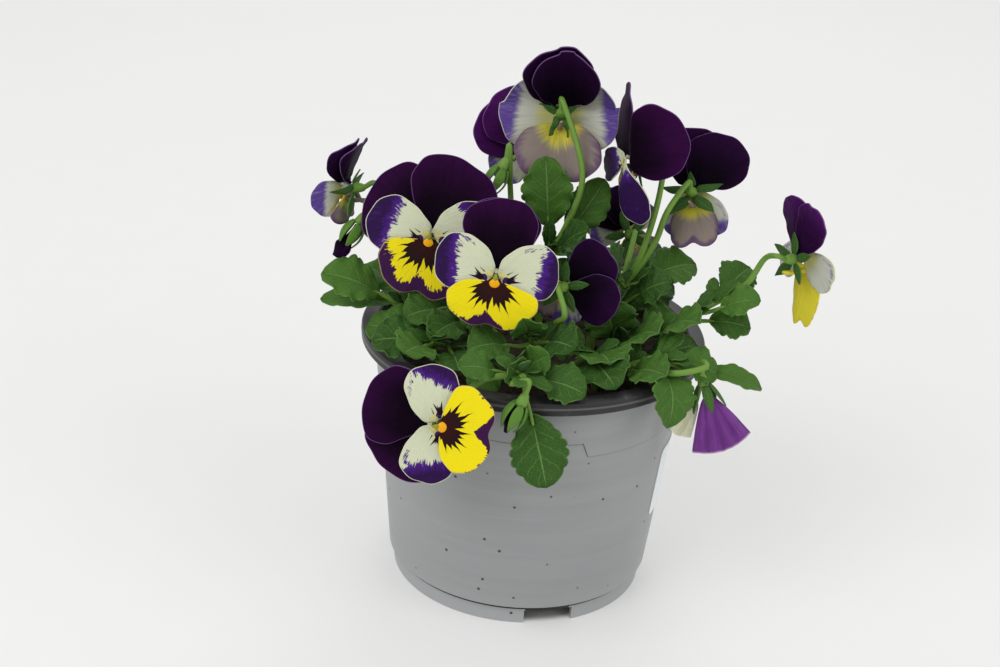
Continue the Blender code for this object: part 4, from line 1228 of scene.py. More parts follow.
# %% Stem finishes
def leaf_colours(name, dark, light, lit_and_fresh, vein, roughness, bump):
    finish = Finish(name, roughness, Specular_IOR_Level=0.13)
    place = finish.place()
    u, v, _ = finish.uv()
    side = finish.sum("ABSOLUTE", finish.swing(u, 2))
    rib = finish.step(side, 0.05, 0.012)
    rows = finish.times(finish.plus(v, finish.times(side, -0.30)), 5.2)
    wave = finish.sum("PINGPONG", rows, 0.5)
    side_vein = finish.times(finish.step(wave, 0.06, 0.0), finish.step(side, 0.95, 0.5))
    net = finish.cells(place, 900, "DISTANCE_TO_EDGE")
    net_line = finish.step(net, 0.10, 0.0)
    patches = finish.cloud(place, 90, 4, 0.6)
    green = finish.mix(patches, dark, light)
    tone = finish.mark("tone")
    # Painted light and shade: leaves with a high tone are mixed towards the lit green; on sepals the tone is
    # how fresh their green is.
    green = finish.mix(finish.times(tone, 0.7), green, lit_and_fresh)
    green = finish.mix(finish.times(net_line, 0.16), green, vein)
    green = finish.mix(finish.times(side_vein, 0.5), green, vein)
    green = finish.mix(finish.times(rib, 0.75), green, vein)
    rim = finish.step(side, 0.93, 0.99)
    green = finish.mix(finish.times(rim, 0.4), green, vein)
    raised = finish.plus(finish.times(rib, 0.6), finish.times(side_vein, 0.5))
    height = finish.plus(finish.times(raised, -1.0), finish.plus(patches, finish.times(net_line, -0.25)))
    finish.bump(height, bump)
    return finish.colour(green)


def stem_green():
    finish = Finish("stem_green", 0.42, Specular_IOR_Level=0.22)
    place = finish.place()
    patches = finish.cloud(place, 70, 3)
    streaks = finish.cloud(finish.stretched(place, (900, 900, 60)), 1.0, 3)
    green = finish.mix(patches, (0.095, 0.22, 0.025), (0.18, 0.34, 0.05))
    green = finish.mix(finish.times(streaks, 0.4), green, (0.26, 0.42, 0.10))
    finish.bump(streaks, 0.15)
    return finish.colour(green)


DEEP_GREEN = (0.009, 0.036, 0.006)
MID_GREEN = (0.030, 0.098, 0.014)
# The third green is painted light: leaves high up or far out are mixed towards it.
PAINTED_LIT_GREEN = (0.090, 0.215, 0.028)
PALE_GREEN = (0.10, 0.21, 0.07)
DULL_GREEN = (0.05, 0.12, 0.035)
VEIN_GREEN = (0.18, 0.33, 0.09)
SEPAL_DARK = (0.03, 0.085, 0.022)
FRESH_GREEN = (0.17, 0.36, 0.045)
LEAF_TOP = leaf_colours("leaf_top", DEEP_GREEN, MID_GREEN, PAINTED_LIT_GREEN, VEIN_GREEN, 0.45, 0.22)
LEAF_UNDER = leaf_colours("leaf_under", DULL_GREEN, PALE_GREEN, PALE_GREEN, VEIN_GREEN, 0.6, 0.25)
SEPAL_GREEN = leaf_colours("sepal_green", SEPAL_DARK, MID_GREEN, FRESH_GREEN, VEIN_GREEN, 0.5, 0.15)
STEM_GREEN = stem_green()
print("finishes so far:", len(bpy.data.materials))

# %% [markdown]
# Each leafy stem is put together from its stem, petioles, leaves, little lobed stipules where the
# petioles start, and the flower stalks with their calyxes. The leaves are joined and given their
# thickness together, and the whole stem becomes one piece with four finishes.

# %% Leafy stems
PETIOLE_RADIUS = 0.8
STALK_RADIUS = 0.9
STIPULE_LENGTH = 10.0
STIPULE_WIDTH = 4.2
SEPAL_THICKNESS = 0.4


def stalk_path(stalk, stem_path):
    """From the stem, through its points, and hooked over into the back of the calyx."""
    bloom = stalk.bloom
    out = bloom_frame(bloom).to_3x3() @ Vector((0, 0, 1))
    up = (Vector((0, 0, 1)) - out * out.z).normalized()
    cup = Vector(bloom.throat) - out * CALYX_DEPTH
    controls = [along_path(stem_path, stalk.at), *(Vector(point) for point in stalk.through)]
    return smooth_path([*controls, cup - out * 6.0 + up * 1.4, cup - out * 1.8], 7)


def leaf_pieces(blank, leaf, path):
    """The blade of this leaf and its petiole, which starts on the stem's path."""
    root = along_path(path, leaf.at)
    tip = Vector(leaf.tip)
    base = root.lerp(tip, leaf.petiole)
    lobes = leaf.teeth + 2 if leaf.width > 10 else leaf.teeth + 1
    blade = leaf_blade(blank, base, tip, leaf.width, leaf.face, lobes, leaf.arch)
    sag = Vector((0, 0, -0.05)) * (tip - root).length
    ends = [root, root.lerp(base, 0.5) + sag * 0.6, base, base.lerp(tip, 0.16)]
    bent = smooth_path(ends, 3)
    petiole = tube(bent, tapered(PETIOLE_RADIUS, 0.45, len(bent)), 1)
    return blade, petiole


def stipules(blank, leaf, path):
    """Two small lobed blades where a petiole leaves the stem."""
    root = along_path(path, leaf.at)
    away = (Vector(leaf.tip) - root).normalized()
    aside = away.cross(Vector((0, 0, 1)))
    pair = []
    for way in (-1, 1):
        rise = Vector((0, 0, random_leaf.uniform(0.1, 0.7)))
        reach = (away * 0.6 + aside * way * 0.55 + rise).normalized()
        tip = root + reach * STIPULE_LENGTH * random_leaf.uniform(0.8, 1.2)
        pair.append(leaf_blade(blank, root + reach * 0.8, tip, STIPULE_WIDTH, (0, -0.5, 1), 3, 0.05))
    return pair


def make_stem(stem, blank, small_blank):
    """One piece with all that grows from this stem, but for the petals."""
    path = [Vector(stem.path[0]), *smooth_path(stem.path[1:], 7)]
    tubes = [tube(path, tapered(STEM_RADIUS, STEM_RADIUS * 0.75, len(path)), 3)]
    blades, sepals = [], []
    for leaf in stem.leaves:
        blade, petiole = leaf_pieces(blank, leaf, path)
        blades += [blade, *stipules(small_blank, leaf, path)]
        tubes.append(petiole)
    for stalk in stem.stalks:
        bent = stalk_path(stalk, path)
        tubes.append(tube(bent, tapered(STALK_RADIUS * 1.15, STALK_RADIUS * 0.85, len(bent))))
        more_sepals, cup = calyx_pieces(small_blank, stalk.bloom)
        sepals += more_sepals
        tubes.append(cup)
    leafy = join("leaves", blades)
    leafy.data.materials.append(LEAF_TOP)
    leafy.data.materials.append(LEAF_UNDER)
    finish_with(leafy, "SOLIDIFY", thickness=LEAF_THICKNESS * MM, offset=0, material_offset=1)
    woody = join("tubes", tubes)
    woody.data.materials.append(STEM_GREEN)
    parts = [leafy, woody]
    if sepals:
        green = join("sepals", sepals)
        green.data.materials.append(SEPAL_GREEN)
        parts.append(finish_with(green, "SOLIDIFY", thickness=SEPAL_THICKNESS * MM, offset=0))
    piece = join("grown_" + stem.name, parts)
    settle(piece, "leaf_green", stem.name)


leaf_model = add_grid("leaf_blank", LEAF_COLUMNS, LEAF_ROWS)
small_model = add_grid("small_blank", SMALL_COLUMNS, SMALL_ROWS)
for stem in STEMS:
    make_stem(stem, leaf_model, small_model)
for model in (leaf_model, small_model):
    bpy.data.objects.remove(model, do_unlink=True)

# %% [markdown]
# Petals: each is a disc of squares that is drawn out to the petal's outline, cupped and curled, with a
# slightly frilled rim. The disc is modelled once and copied. Beside its shape, a copy gets a UV map in
# which one unit is 40 mm of petal, with the base at the middle of the lower edge, so that the finishes
# can draw veins and blotches as rays from the base. A petal starts at its base and stands at its angle;
# lift and curl tilt and bend it, cup hollows it, waist and notch shape its outline, frill ripples its
# rim, and flip mirrors it. Each point also gets marks for the finishes: how near the rim it is, a tone
# for the whole petal, and how deeply it is stained.

# %% Petal shapes
PETAL_STEPS = 30
PETAL_THICKNESS = 0.34
PETAL_MIDDLE = 0.55
UV_SPAN = 40.0
PETAL_SIZES = ((23.5, 23.0), (18.5, 16.4), (13.8, 26.5))
random_petal = random.Random(17)
Petal = namedtuple("Petal", "base angle length width lift curl cup waist notch frill flip")


def petal_size(bloom, kind):
    """Length and width of this kind of petal: 0 for the upper ones, 1 for the side ones, 2 for the lower."""
    length, width = PETAL_SIZES[kind]
    return length * bloom.size * bloom.lengths[kind], width * bloom.size * bloom.widths[kind]


def petal_outline(petal, turn):
    """The outline's share of the length and its breadth at this turn: 0 is the tip, pi the base."""
    share = (1 + math.cos(turn)) / 2
    breadth = math.sin(turn) * (petal.waist + (1 - petal.waist) * share**0.55)
    dip = petal.notch * math.exp(-((abs(turn) / 0.36) ** 2))
    return share - dip, breadth


def uneven(turn, phase):
    """A factor near 1 that makes an outline a little irregular."""
    return 1 + 0.022 * math.sin(4 * turn + phase) + 0.012 * math.sin(9 * turn + 2.1 * phase)


def widest(petal):
    """The greatest breadth that the outline reaches."""
    return max(petal_outline(petal, math.pi * place / 90)[1] for place in range(91))


def petal_point(petal, bloom, share, breadth, ripple):
    """The place in the bloom's frame of a point at this share of the length and breadth."""
    angle, slope, bend = (math.radians(a) for a in (petal.angle, petal.lift, petal.curl))
    out = Vector((math.cos(angle), math.sin(angle), 0))
    across = Vector((-out.y, out.x, 0))
    end = slope + bend * share
    reach = petal.length * (math.sin(end) - math.sin(slope)) / bend
    rise = petal.length * (math.cos(slope) - math.cos(end)) / bend
    lifted = petal.cup * breadth**2 * petal.width / 2 + ripple
    flat = out * (reach - lifted * math.sin(end)) + across * breadth * petal.width / 2
    return folded(Vector(petal.base) + flat + Vector((0, 0, rise + lifted * math.cos(end))), bloom.fold)


def petal_blade(blank, petal, bloom, stain):
    """A copy of the disc as this petal. stain says how dark its margin is at a place on it."""
    blade = copied("petal", blank)
    mesh = blade.data
    frame = bloom_frame(bloom)
    full = widest(petal)
    phase, tone_value = random_petal.uniform(0, math.tau), random_petal.random()
    marks = {name: mesh.attributes.new(name, "FLOAT", "POINT") for name in ("rim", "tone", "stain")}
    flat_places = []
    for vertex in mesh.vertices:
        x, y = vertex.co.xy
        size, turn = math.hypot(x, y), math.atan2(-x, y)
        share, breadth = petal_outline(petal, turn)
        wide = size * uneven(turn, phase)
        share = PETAL_MIDDLE + wide * (share - PETAL_MIDDLE)
        breadth = wide * breadth / full
        wave = math.sin(7 * turn + phase) + 0.6 * math.sin(12 * turn + 2.3 * phase)
        ripple = petal.frill * size**4 * wave * (0.3 + 0.7 * share)
        vertex.co = frame @ petal_point(petal, bloom, share, breadth, ripple) * MM
        flat_places.append((share, breadth))
        marks["rim"].data[vertex.index].value = size
        marks["tone"].data[vertex.index].value = tone_value
        marks["stain"].data[vertex.index].value = stain(share, breadth * petal.flip, size)
    uv = mesh.uv_layers["UVMap"].data
    unit = UV_SPAN * bloom.size
    for loop in mesh.loops:
        share, breadth = flat_places[loop.vertex_index]
        x = breadth * petal.flip * petal.width / 2 / unit
        uv[loop.index].uv = (0.5 + x, share * petal.length / unit)
    return blade


def no_stain(share, breadth, size):
    return 0.0


def soft(value):
    """Keeps a value between 0 and 1."""
    return max(0.0, min(1.0, value))


def tip_stain(reach, lean):
    """Violet on the outer part of a side petal, less on its upper side but for flecks near the rim."""

    def stain(share, breadth, size):
        tip = 0.5 + (share - lean * breadth - reach) * 2.2
        band = 1 - abs(size - 0.80) / 0.16
        flecks = 0.535 * soft(band * 2) if breadth > 0.15 and share > 0.42 else 0
        return soft(max(tip, flecks))

    return stain


def notch_stain(tall, wide, margin, shift=0.0):
    """Dark purple in a wedge from the dip of the lower petal, and along its margin."""

    def stain(share, breadth, size):
        wedge = size - 1 + tall * soft(1 - abs(breadth - shift) / wide) ** 1.4 if share > 0.5 else -1
        edge = size - 1 + (margin + 0.12 * share) * soft((share - 0.10) / 0.3) if margin else -1
        return soft(0.5 + max(wedge, edge) * 1.4)

    return stain


print("squares in a petal:", PETAL_STEPS**2)

# %% [markdown]
# The finish of a petal is drawn with rays: the angle off the petal's midline and the distance from its
# base come from the UV map. Noise that is fine across the angle and long down the radius gives the
# feathered veins along which the colours run into each other.


# %% Petal finishes
def petal_rays(finish, angle_scale, radius_scale):
    """Across, along and distance from the base in millimetres, the angle, and noise along the rays."""
    u, v, _ = finish.uv()
    across = finish.swing(u, UV_SPAN)
    along = finish.times(v, UV_SPAN)
    square = finish.plus(finish.times(across, across), finish.times(along, along))
    radius = finish.sum("SQRT", square)
    angle = finish.sum("ARCTAN2", across, along)
    tone = finish.times(finish.mark("tone"), 40)
    rays = finish.joined(finish.times(angle, angle_scale), finish.times(radius, radius_scale), tone)
    return across, along, radius, angle, finish.cloud(rays, 1.0, 4, 0.62)


def ray_blotch(finish, radius, angle, inner, outer, count):
    """A blotch that ends in tapered rays: 1 inside, 0 outside."""
    turns = finish.plus(finish.times(angle, count / math.pi), 100.5)
    off = finish.sum("PINGPONG", turns, 0.5)
    point = finish.sum("POWER", finish.times(off, 2), 0.42)
    cell = finish.sum("FLOOR", finish.plus(turns, 0.5))
    longer = finish.times(finish.sum("SINE", finish.times(cell, 2.4)), 0.2)
    fall = finish.step(finish.sum("ABSOLUTE", angle), 0.9, 1.5, 1.0, 0.45)
    middle = finish.step(finish.sum("ABSOLUTE", angle), 0.0, 0.2, 0.72, 1.0)
    fall = finish.times(fall, middle)
    long = finish.times(finish.times(finish.plus(1.0, longer), outer), fall)
    short = finish.times(fall, inner)
    reach = finish.plus(long, finish.times(point, finish.sum("SUBTRACT", short, long)))
    return finish.step(finish.sum("SUBTRACT", radius, reach), 0.25, -0.25)


def stroke(finish, point, start, end, wide, blur=0.12):
    """A mark that is wide at its start and runs out to a tip at its end: 1 on it, 0 beside it."""
    start, run = Vector((*start, 0)), Vector((*end, 0)) - Vector((*start, 0))
    off = finish.vector("SUBTRACT", [(0, point), (1, start)])
    along = finish.vector("DOT_PRODUCT", [(0, off), (1, run / run.length_squared)], 1)
    share = finish.node("Clamp", [(0, along)]).outputs[0]
    on_line = finish.vector("SCALE", [(0, run), ("Scale", share)])
    gap = finish.vector("DISTANCE", [(0, off), (1, on_line)], 1)
    room = finish.sum("MULTIPLY_ADD", share, -wide, wide)
    return finish.step(finish.sum("SUBTRACT", gap, room), blur, -blur / 2)


def pale_rim(finish, colour, rim_colour, strength, start=0.968):
    """A fine line of the rim's colour along the outline."""
    line = finish.step(finish.mark("rim"), start, start + 0.014)
    return finish.mix(finish.times(line, strength), colour, rim_colour)


def upper_velvet(name, low, high, rim, sheen):
    finish = Finish(name, 0.6, Specular_IOR_Level=0.04, Sheen_Weight=sheen, Sheen_Roughness=0.5)
    finish.feed(finish.shader.inputs["Sheen Tint"], (0.45, 0.10, 0.60))
    across, along, _, _, rays = petal_rays(finish, 16, 0.12)
    place = finish.place()
    patches = finish.cloud(place, 110, 4, 0.6)
    dots = finish.cloud(place, 700, 3)
    # Painted sheen: the purple is lighter towards the tip and the sides of the petal.
    share = finish.step(finish.plus(along, finish.times(patches, 9)), 12, 30)
    purple = finish.mix(share, low, high)
    side = finish.step(finish.sum("ABSOLUTE", across), 5, 12)
    purple = finish.mix(finish.times(side, 0.5), purple, high)
    purple = finish.mix(finish.times(finish.step(rays, 0.45, 0.7), 0.3), purple, low)
    purple = finish.mix(finish.times(finish.step(dots, 0.55, 0.8), 0.2), purple, high)
    purple = pale_rim(finish, purple, rim, 0.7, 0.978)
    finish.bump(finish.plus(rays, finish.times(dots, 0.4)), 0.22)
    return finish.colour(purple)


def side_petal(name, cream, violet, dark, tinge):
    finish = Finish(name, 0.6, Specular_IOR_Level=0.12)
    across, along, _, _, rays = petal_rays(finish, 34, 0.30)
    place = finish.place()
    veins = finish.step(rays, 0.5, 0.72)
    white = finish.mix(finish.times(veins, 0.4), cream, tuple(0.84 * part for part in cream))
    point = finish.joined(across, along)
    glow = stroke(finish, point, (-1.7, 0.4), (-2.4, 4.4), 1.3, 1.6)
    white = finish.mix(finish.times(glow, 0.6), white, tinge)
    feather = finish.plus(finish.mark("stain"), finish.swing(rays, 0.75))
    flecks = finish.cloud(place, 480, 3)
    feather = finish.plus(feather, finish.swing(flecks, 0.5))
    spread = finish.step(feather, 0.50, 0.60)
    deep = finish.mix(finish.step(feather, 0.62, 1.0, 0, 0.85), violet, dark)
    petal = finish.mix(spread, white, deep)
    spot = stroke(finish, point, (-2.9, 2.9), (-2.5, 5.3), 1.3)
    petal = finish.mix(spot, petal, (0.040, 0.018, 0.12))
    for start, end, wide in WHISKERS:
        petal = finish.mix(stroke(finish, point, start, end, wide), petal, (0.010, 0.002, 0.012))
    petal = pale_rim(finish, petal, tuple(min(1, 1.08 * part) for part in cream), 0.9)
    finish.bump(rays, 0.2)
    return finish.colour(petal)


def lower_petal(name, inner, outer, speckle, feathers):
    finish = Finish(name, 0.55, Specular_IOR_Level=0.12)
    _, _, radius, angle, rays = petal_rays(finish, 30, 0.25)
    place = finish.place()
    veins = finish.step(rays, 0.5, 0.75)
    yellow = finish.mix(finish.times(veins, 0.3), (0.90, 0.75, 0.006), (0.84, 0.62, 0.003))
    flecks = finish.cloud(place, 520, 4, 0.6)
    feather = finish.plus(finish.mark("stain"), finish.swing(rays, feathers))
    feather = finish.plus(feather, finish.swing(flecks, speckle))
    petal = finish.mix(finish.step(feather, 0.5, 0.56), yellow, (0.040, 0.005, 0.055))
    petal = pale_rim(finish, petal, (0.80, 0.62, 0.25), 0.4)
    wander = finish.swing(finish.cloud(place, 300, 2), 0.16)
    blotch = ray_blotch(finish, radius, finish.plus(angle, wander), inner, outer, BLOTCH_RAYS)
    maroon = finish.mix(finish.step(radius, 2.0, 8.0), (0.030, 0.003, 0.003), (0.012, 0.002, 0.004))
    petal = finish.mix(blotch, petal, maroon)
    finish.bump(rays, 0.2)
    return finish.colour(petal)


def petal_back(name, base_colour, middle, edge, vein, reach):
    """The outside of a petal: dull, with its base colour, and the veins standing out."""
    finish = Finish(name, 0.62, Specular_IOR_Level=0.25)
    _, _, radius, _, rays = petal_rays(finish, 15, 0.1)
    stain = finish.mark("stain")
    veins = finish.step(rays, 0.5, 0.68)
    near_base = finish.step(finish.plus(radius, finish.times(rays, 4)), reach, 0.6 * reach)
    colour = finish.mix(near_base, middle, base_colour)
    feather = finish.plus(stain, finish.swing(rays, 0.7))
    colour = finish.mix(finish.step(feather, 0.40, 0.75), colour, edge)
    colour = finish.mix(finish.times(veins, 0.35), colour, vein)
    finish.bump(rays, 0.25)
    return finish.colour(colour)


CREAM = (0.66, 0.69, 0.49)
LEMON = (0.72, 0.70, 0.26)
TINGE = (0.80, 0.66, 0.05)
VIOLET = (0.064, 0.012, 0.205)
DEEP_VIOLET = (0.015, 0.002, 0.028)
BLOTCH_RAYS = 14.5
WHISKERS = (
    ((-2.7, 3.3), (-0.5, 6.1), 0.55),
    ((-3.0, 3.5), (-3.1, 7.1), 0.55),
    ((-2.6, 3.6), (-1.8, 5.6), 0.4),
    ((-0.9, 3.0), (-0.1, 4.6), 0.15),
)
UPPER_FRONT = upper_velvet(
    "upper_velvet", (0.004, 0.0004, 0.005), (0.032, 0.0024, 0.043), (0.22, 0.11, 0.30), 0.02
)
UPPER_BACK = upper_velvet(
    "upper_back", (0.004, 0.0008, 0.006), (0.022, 0.003, 0.034), (0.12, 0.06, 0.20), 0.02
)
UPPER_BRIGHT = upper_velvet(
    "upper_bright", (0.020, 0.002, 0.030), (0.085, 0.010, 0.130), (0.25, 0.12, 0.35), 0.04
)
SIDE_FRONT = side_petal("side_cream", CREAM, VIOLET, DEEP_VIOLET, TINGE)
SIDE_LEMON = side_petal("side_lemon", LEMON, VIOLET, DEEP_VIOLET, TINGE)
SIDE_BACK = petal_back(
    "side_back", (0.62, 0.62, 0.22), (0.56, 0.57, 0.48), (0.10, 0.05, 0.28), (0.38, 0.34, 0.44), 10
)
LOWER_SMALL = lower_petal("lower_yellow", 6.2, 10.2, 0.55, 0.5)
LOWER_LARGE = lower_petal("lower_yellow_deep", 7.0, 11.0, 0.8, 0.95)
LOWER_BACK = petal_back(
    "lower_back", (0.70, 0.62, 0.05), (0.26, 0.21, 0.18), (0.12, 0.06, 0.14), (0.20, 0.15, 0.17), 11
)
LOWER_LEMON = petal_back(
    "lower_lemon", (0.74, 0.64, 0.03), (0.76, 0.66, 0.04), (0.45, 0.33, 0.08), (0.60, 0.50, 0.03), 7
)
print("finishes so far:", len(bpy.data.materials))

# %% [markdown]
# The throat is the small face that makes a viola: an orange tongue, the green knob of the pistil above
# it, and a beard of short pale hairs on the foot of each side petal that wipes a visiting bee. The
# hairs are one thin cone, copied along two short curves.

# %% Throat
BEARD_HAIRS = 30


def throat_finish(name, low, high):
    finish = Finish(name, 0.5, Specular_IOR_Level=0.15)
    grain = finish.cloud(finish.place(), 900, 3)
    finish.bump(grain, 0.1)
    return finish.colour(finish.mix(grain, low, high))


ORANGE = throat_finish("throat_orange", (0.86, 0.34, 0.004), (0.95, 0.50, 0.010))
PISTIL = throat_finish("pistil_green", (0.20, 0.22, 0.02), (0.38, 0.36, 0.05))
BEARD = throat_finish("beard_cream", (0.74, 0.74, 0.42), (0.84, 0.85, 0.66))


def drop(frame, spot, size, colour):
    """A small rounded drop, drawn out to this size along the bloom's own axes."""
    bpy.ops.object.select_all(action="DESELECT")
    bpy.ops.mesh.primitive_uv_sphere_add(segments=16, ring_count=10, radius=1)
    made = bpy.context.object
    for vertex in made.data.vertices:
        x, y, z = vertex.co
        pinch = 1 - 0.6 * max(0.0, y)
        point = Vector((x * size[0] * pinch, y * size[1], z * size[2])) + Vector(spot)
        vertex.co = frame @ point * MM
    made.data.materials.append(colour)
    return made


def beard(frame):
    """Short hairs on the foot of both side petals, as one tuft."""
    bpy.ops.object.select_all(action="DESELECT")
    bpy.ops.mesh.primitive_cone_add(vertices=4, radius1=0.06, depth=1, end_fill_type="TRIFAN")
    model = bpy.context.object
    hairs = []
    for place in range(2 * BEARD_HAIRS):
        side = 1 if place % 2 else -1
        share = random_petal.random()
        height = -0.9 + 0.5 * share + random_petal.uniform(-0.35, 0.35)
        foot = Vector((side * (0.8 + 1.9 * share), height, -0.5))
        lean = Vector((-side * 0.35, random_petal.uniform(-0.5, 0.3), 1)).normalized()
        length = random_petal.uniform(0.5, 0.95)
        turned = lean.to_track_quat("Z", "Y").to_matrix().to_4x4()
        hair = copied("hair", model)
        lay = Matrix.Translation(foot + lean * length / 2) @ turned @ Matrix.Diagonal((1, 1, length, 1))
        hair.data.transform(lay)
        hair.data.transform(frame)
        hair.data.transform(Matrix.Scale(MM, 4))
        hairs.append(hair)
    bpy.data.objects.remove(model, do_unlink=True)
    tuft = join("beard", hairs)
    tuft.data.materials.append(BEARD)
    return tuft


def make_throat(bloom):
    frame = bloom_frame(bloom)
    depth = 1.0 if bloom.ahead else -0.6
    tongue = drop(frame, (0, -2.3, depth), (1.6, 1.55, 0.45), ORANGE)
    knob = drop(frame, (0, -0.7, depth + 0.15), (0.7, 1.25, 0.45), PISTIL)
    piece = join(bloom.name + "_throat", [tongue, knob, beard(frame)])
    settle(piece, "lower_yellow")


print("hairs in a beard:", 2 * BEARD_HAIRS)

# %% [markdown]
# Now the blooms. Each colour of petal is one piece, as in the CAD part: the two upper petals, the two
# side petals and the lower one with its spur. The stains differ from bloom to bloom, as they do on the
# plant: on one the whole lower margin is dark, on another only the dip.

# %% Open blooms
SIDE_STAINS = {
    "bloom_front": ((0.66, 0.10), (0.60, 0.10)),
    "bloom_front_left": ((0.64, -0.28), (0.56, -0.10)),
    "bloom_rim": ((0.70, 0.18), (0.61, 0.10)),
    "bloom_top": ((0.66, 0.0), (0.66, 0.0)),
    "bloom_facing_left": ((0.20, 0.0), (0.20, 0.0)),
    "bloom_far_right": ((0.98, 0.0), (0.98, 0.0)),
    "bloom_far_left": ((0.62, -0.30), (0.62, -0.30)),
}
LOWER_STAINS = {
    "bloom_front": (0.88, 0.58, 0, -0.10),
    "bloom_front_left": (0.95, 0.60, 0.30),
    "bloom_rim": (0.95, 0.52, 0),
    "bloom_facing_left": (0.7, 1.8, 0),
    "bloom_far_right": (0.1, 0.1, 0),
}
DEEP_BLOTCH = ("bloom_front_left",)
PALE_BLOOMS = ("bloom_far_right",)
BRIGHT_BLOOMS = ("bloom_far_right", "bloom_top_left")


def petal_piece(bloom, kind, blades, tubes, front, back, slot):
    """Joins blades and tubes into one piece that stands for the bloom's solid of this kind."""
    flat = join("petals", blades)
    flat.data.materials.append(front)
    flat.data.materials.append(back)
    finish_with(flat, "SOLIDIFY", thickness=PETAL_THICKNESS * MM, offset=0, material_offset=1)
    foot = join("foot", tubes)
    foot.data.materials.append(back)
    piece = join("grown_" + bloom.name + "_" + kind, [flat, foot])
    settle(piece, slot, bloom.name + "_" + kind)


def claw(bloom, start, end, radius, end_radius):
    """The narrow foot that holds a petal in the calyx."""
    frame = bloom_frame(bloom)
    path = smooth_path([frame @ Vector(start), frame @ Vector(end)], 3)
    return tube(path, tapered(radius, end_radius, len(path)))


def make_upper_petals(bloom, blank):
    length, width = petal_size(bloom, 0)
    blades = []
    for angle, across, depth, curl in zip(bloom.uppers, (0.4, -0.4), (-2.0, -3.3), (-22, -24)):
        flip = 1 if across > 0 else -1
        lift = (4 if bloom.ahead else 9) + depth / 2
        petal = Petal((across, 1.8, depth), angle, length, width, lift, curl, 0.03, 0.4, 0.0, 0.16, flip)
        blades.append(petal_blade(blank, petal, bloom, no_stain))
    foot = claw(bloom, (0, 1.3, CLAW_START), (0, 2.7, -2.3), 0.5, 0.6)
    front, back = (UPPER_BRIGHT, UPPER_BRIGHT) if bloom.name in BRIGHT_BLOOMS else (UPPER_FRONT, UPPER_BACK)
    petal_piece(bloom, "upper_petals", blades, [foot], front, back, "upper_purple")


def make_side_petals(bloom, blank):
    length, width = petal_size(bloom, 1)
    blades = []
    stains = SIDE_STAINS.get(bloom.name, ((0.70, 0.10), (0.70, 0.10)))
    lift, curl = (7, -14) if bloom.ahead else (14, -23)
    for angle, across, depth, stain in zip(bloom.sides, (0.3, -0.3), (-0.9, -0.7), stains):
        flip = 1 if across > 0 else -1
        petal = Petal((across, 1.1, depth), angle, length, width, lift, curl, 0.02, 0.45, 0.0, 0.14, flip)
        blades.append(petal_blade(blank, petal, bloom, tip_stain(*stain)))
    foot = claw(bloom, (0, 0.3, CLAW_START), (0, 1.2, -1.0), 0.45, 0.7)
    front = SIDE_LEMON if bloom.name in PALE_BLOOMS else SIDE_FRONT
    petal_piece(bloom, "side_petals", blades, [foot], front, SIDE_BACK, "side_cream")


def make_lower_petal(bloom, blank):
    length, width = petal_size(bloom, 2)
    depth, lift, curl, cup, waist = (0.9, 3, -6, 0.02, 1.8) if bloom.ahead else (-2.3, -6, 6, 0.04, 0.85)
    petal = Petal((0, -1.9, depth), -90, length, width, lift, curl, cup, waist, 0.15, 0.12, 1)
    stain = notch_stain(*LOWER_STAINS.get(bloom.name, (0.6, 0.8, 0.12)))
    blade = petal_blade(blank, petal, bloom, stain)
    frame = bloom_frame(bloom)
    foot = claw(bloom, (0, -1.3, CLAW_START), (0, -3.0, depth - 0.1), 0.5, 0.7)
    spur_points = ((0, -3.6, depth - 0.15), (0, -4.1, -5), (0, -3.7, -8.6))
    spur_path = smooth_path([frame @ Vector(point) for point in spur_points], 3)
    spur = tube(spur_path, [0.85, 0.85, 0.82, 0.75, 0.68, 0.6, 0.4])
    front = LOWER_LARGE if bloom.name in DEEP_BLOTCH else LOWER_SMALL
    back = LOWER_LEMON if bloom.name in PALE_BLOOMS else LOWER_BACK
    petal_piece(bloom, "lower_petal", [blade], [foot, spur], front, back, "lower_yellow")


petal_model = disc_grid("petal_blank", PETAL_STEPS)
for bloom in OPEN_BLOOMS:
    make_upper_petals(bloom, petal_model)
    make_side_petals(bloom, petal_model)
    make_lower_petal(bloom, petal_model)
    make_throat(bloom)

# %% [markdown]
# The wilted bloom hangs from its calyx: the dark petals have dried into one pleated fan and a cream
# one hangs beside it. A pleated fan is a grid again, whose columns zigzag more and more towards the
# hem. The two buds are petals furled round each other: a tapered tube with a twist of ridges.

# %% Wilted bloom and buds
MAGENTAS = ((0.10, 0.012, 0.16), (0.24, 0.05, 0.34), (0.05, 0.006, 0.09), (0.45, 0.25, 0.5))
LIMP_CREAMS = ((0.66, 0.66, 0.42), (0.80, 0.80, 0.60), (0.52, 0.50, 0.30), (0.85, 0.84, 0.7))
WITHERED_THICKNESS = 0.4


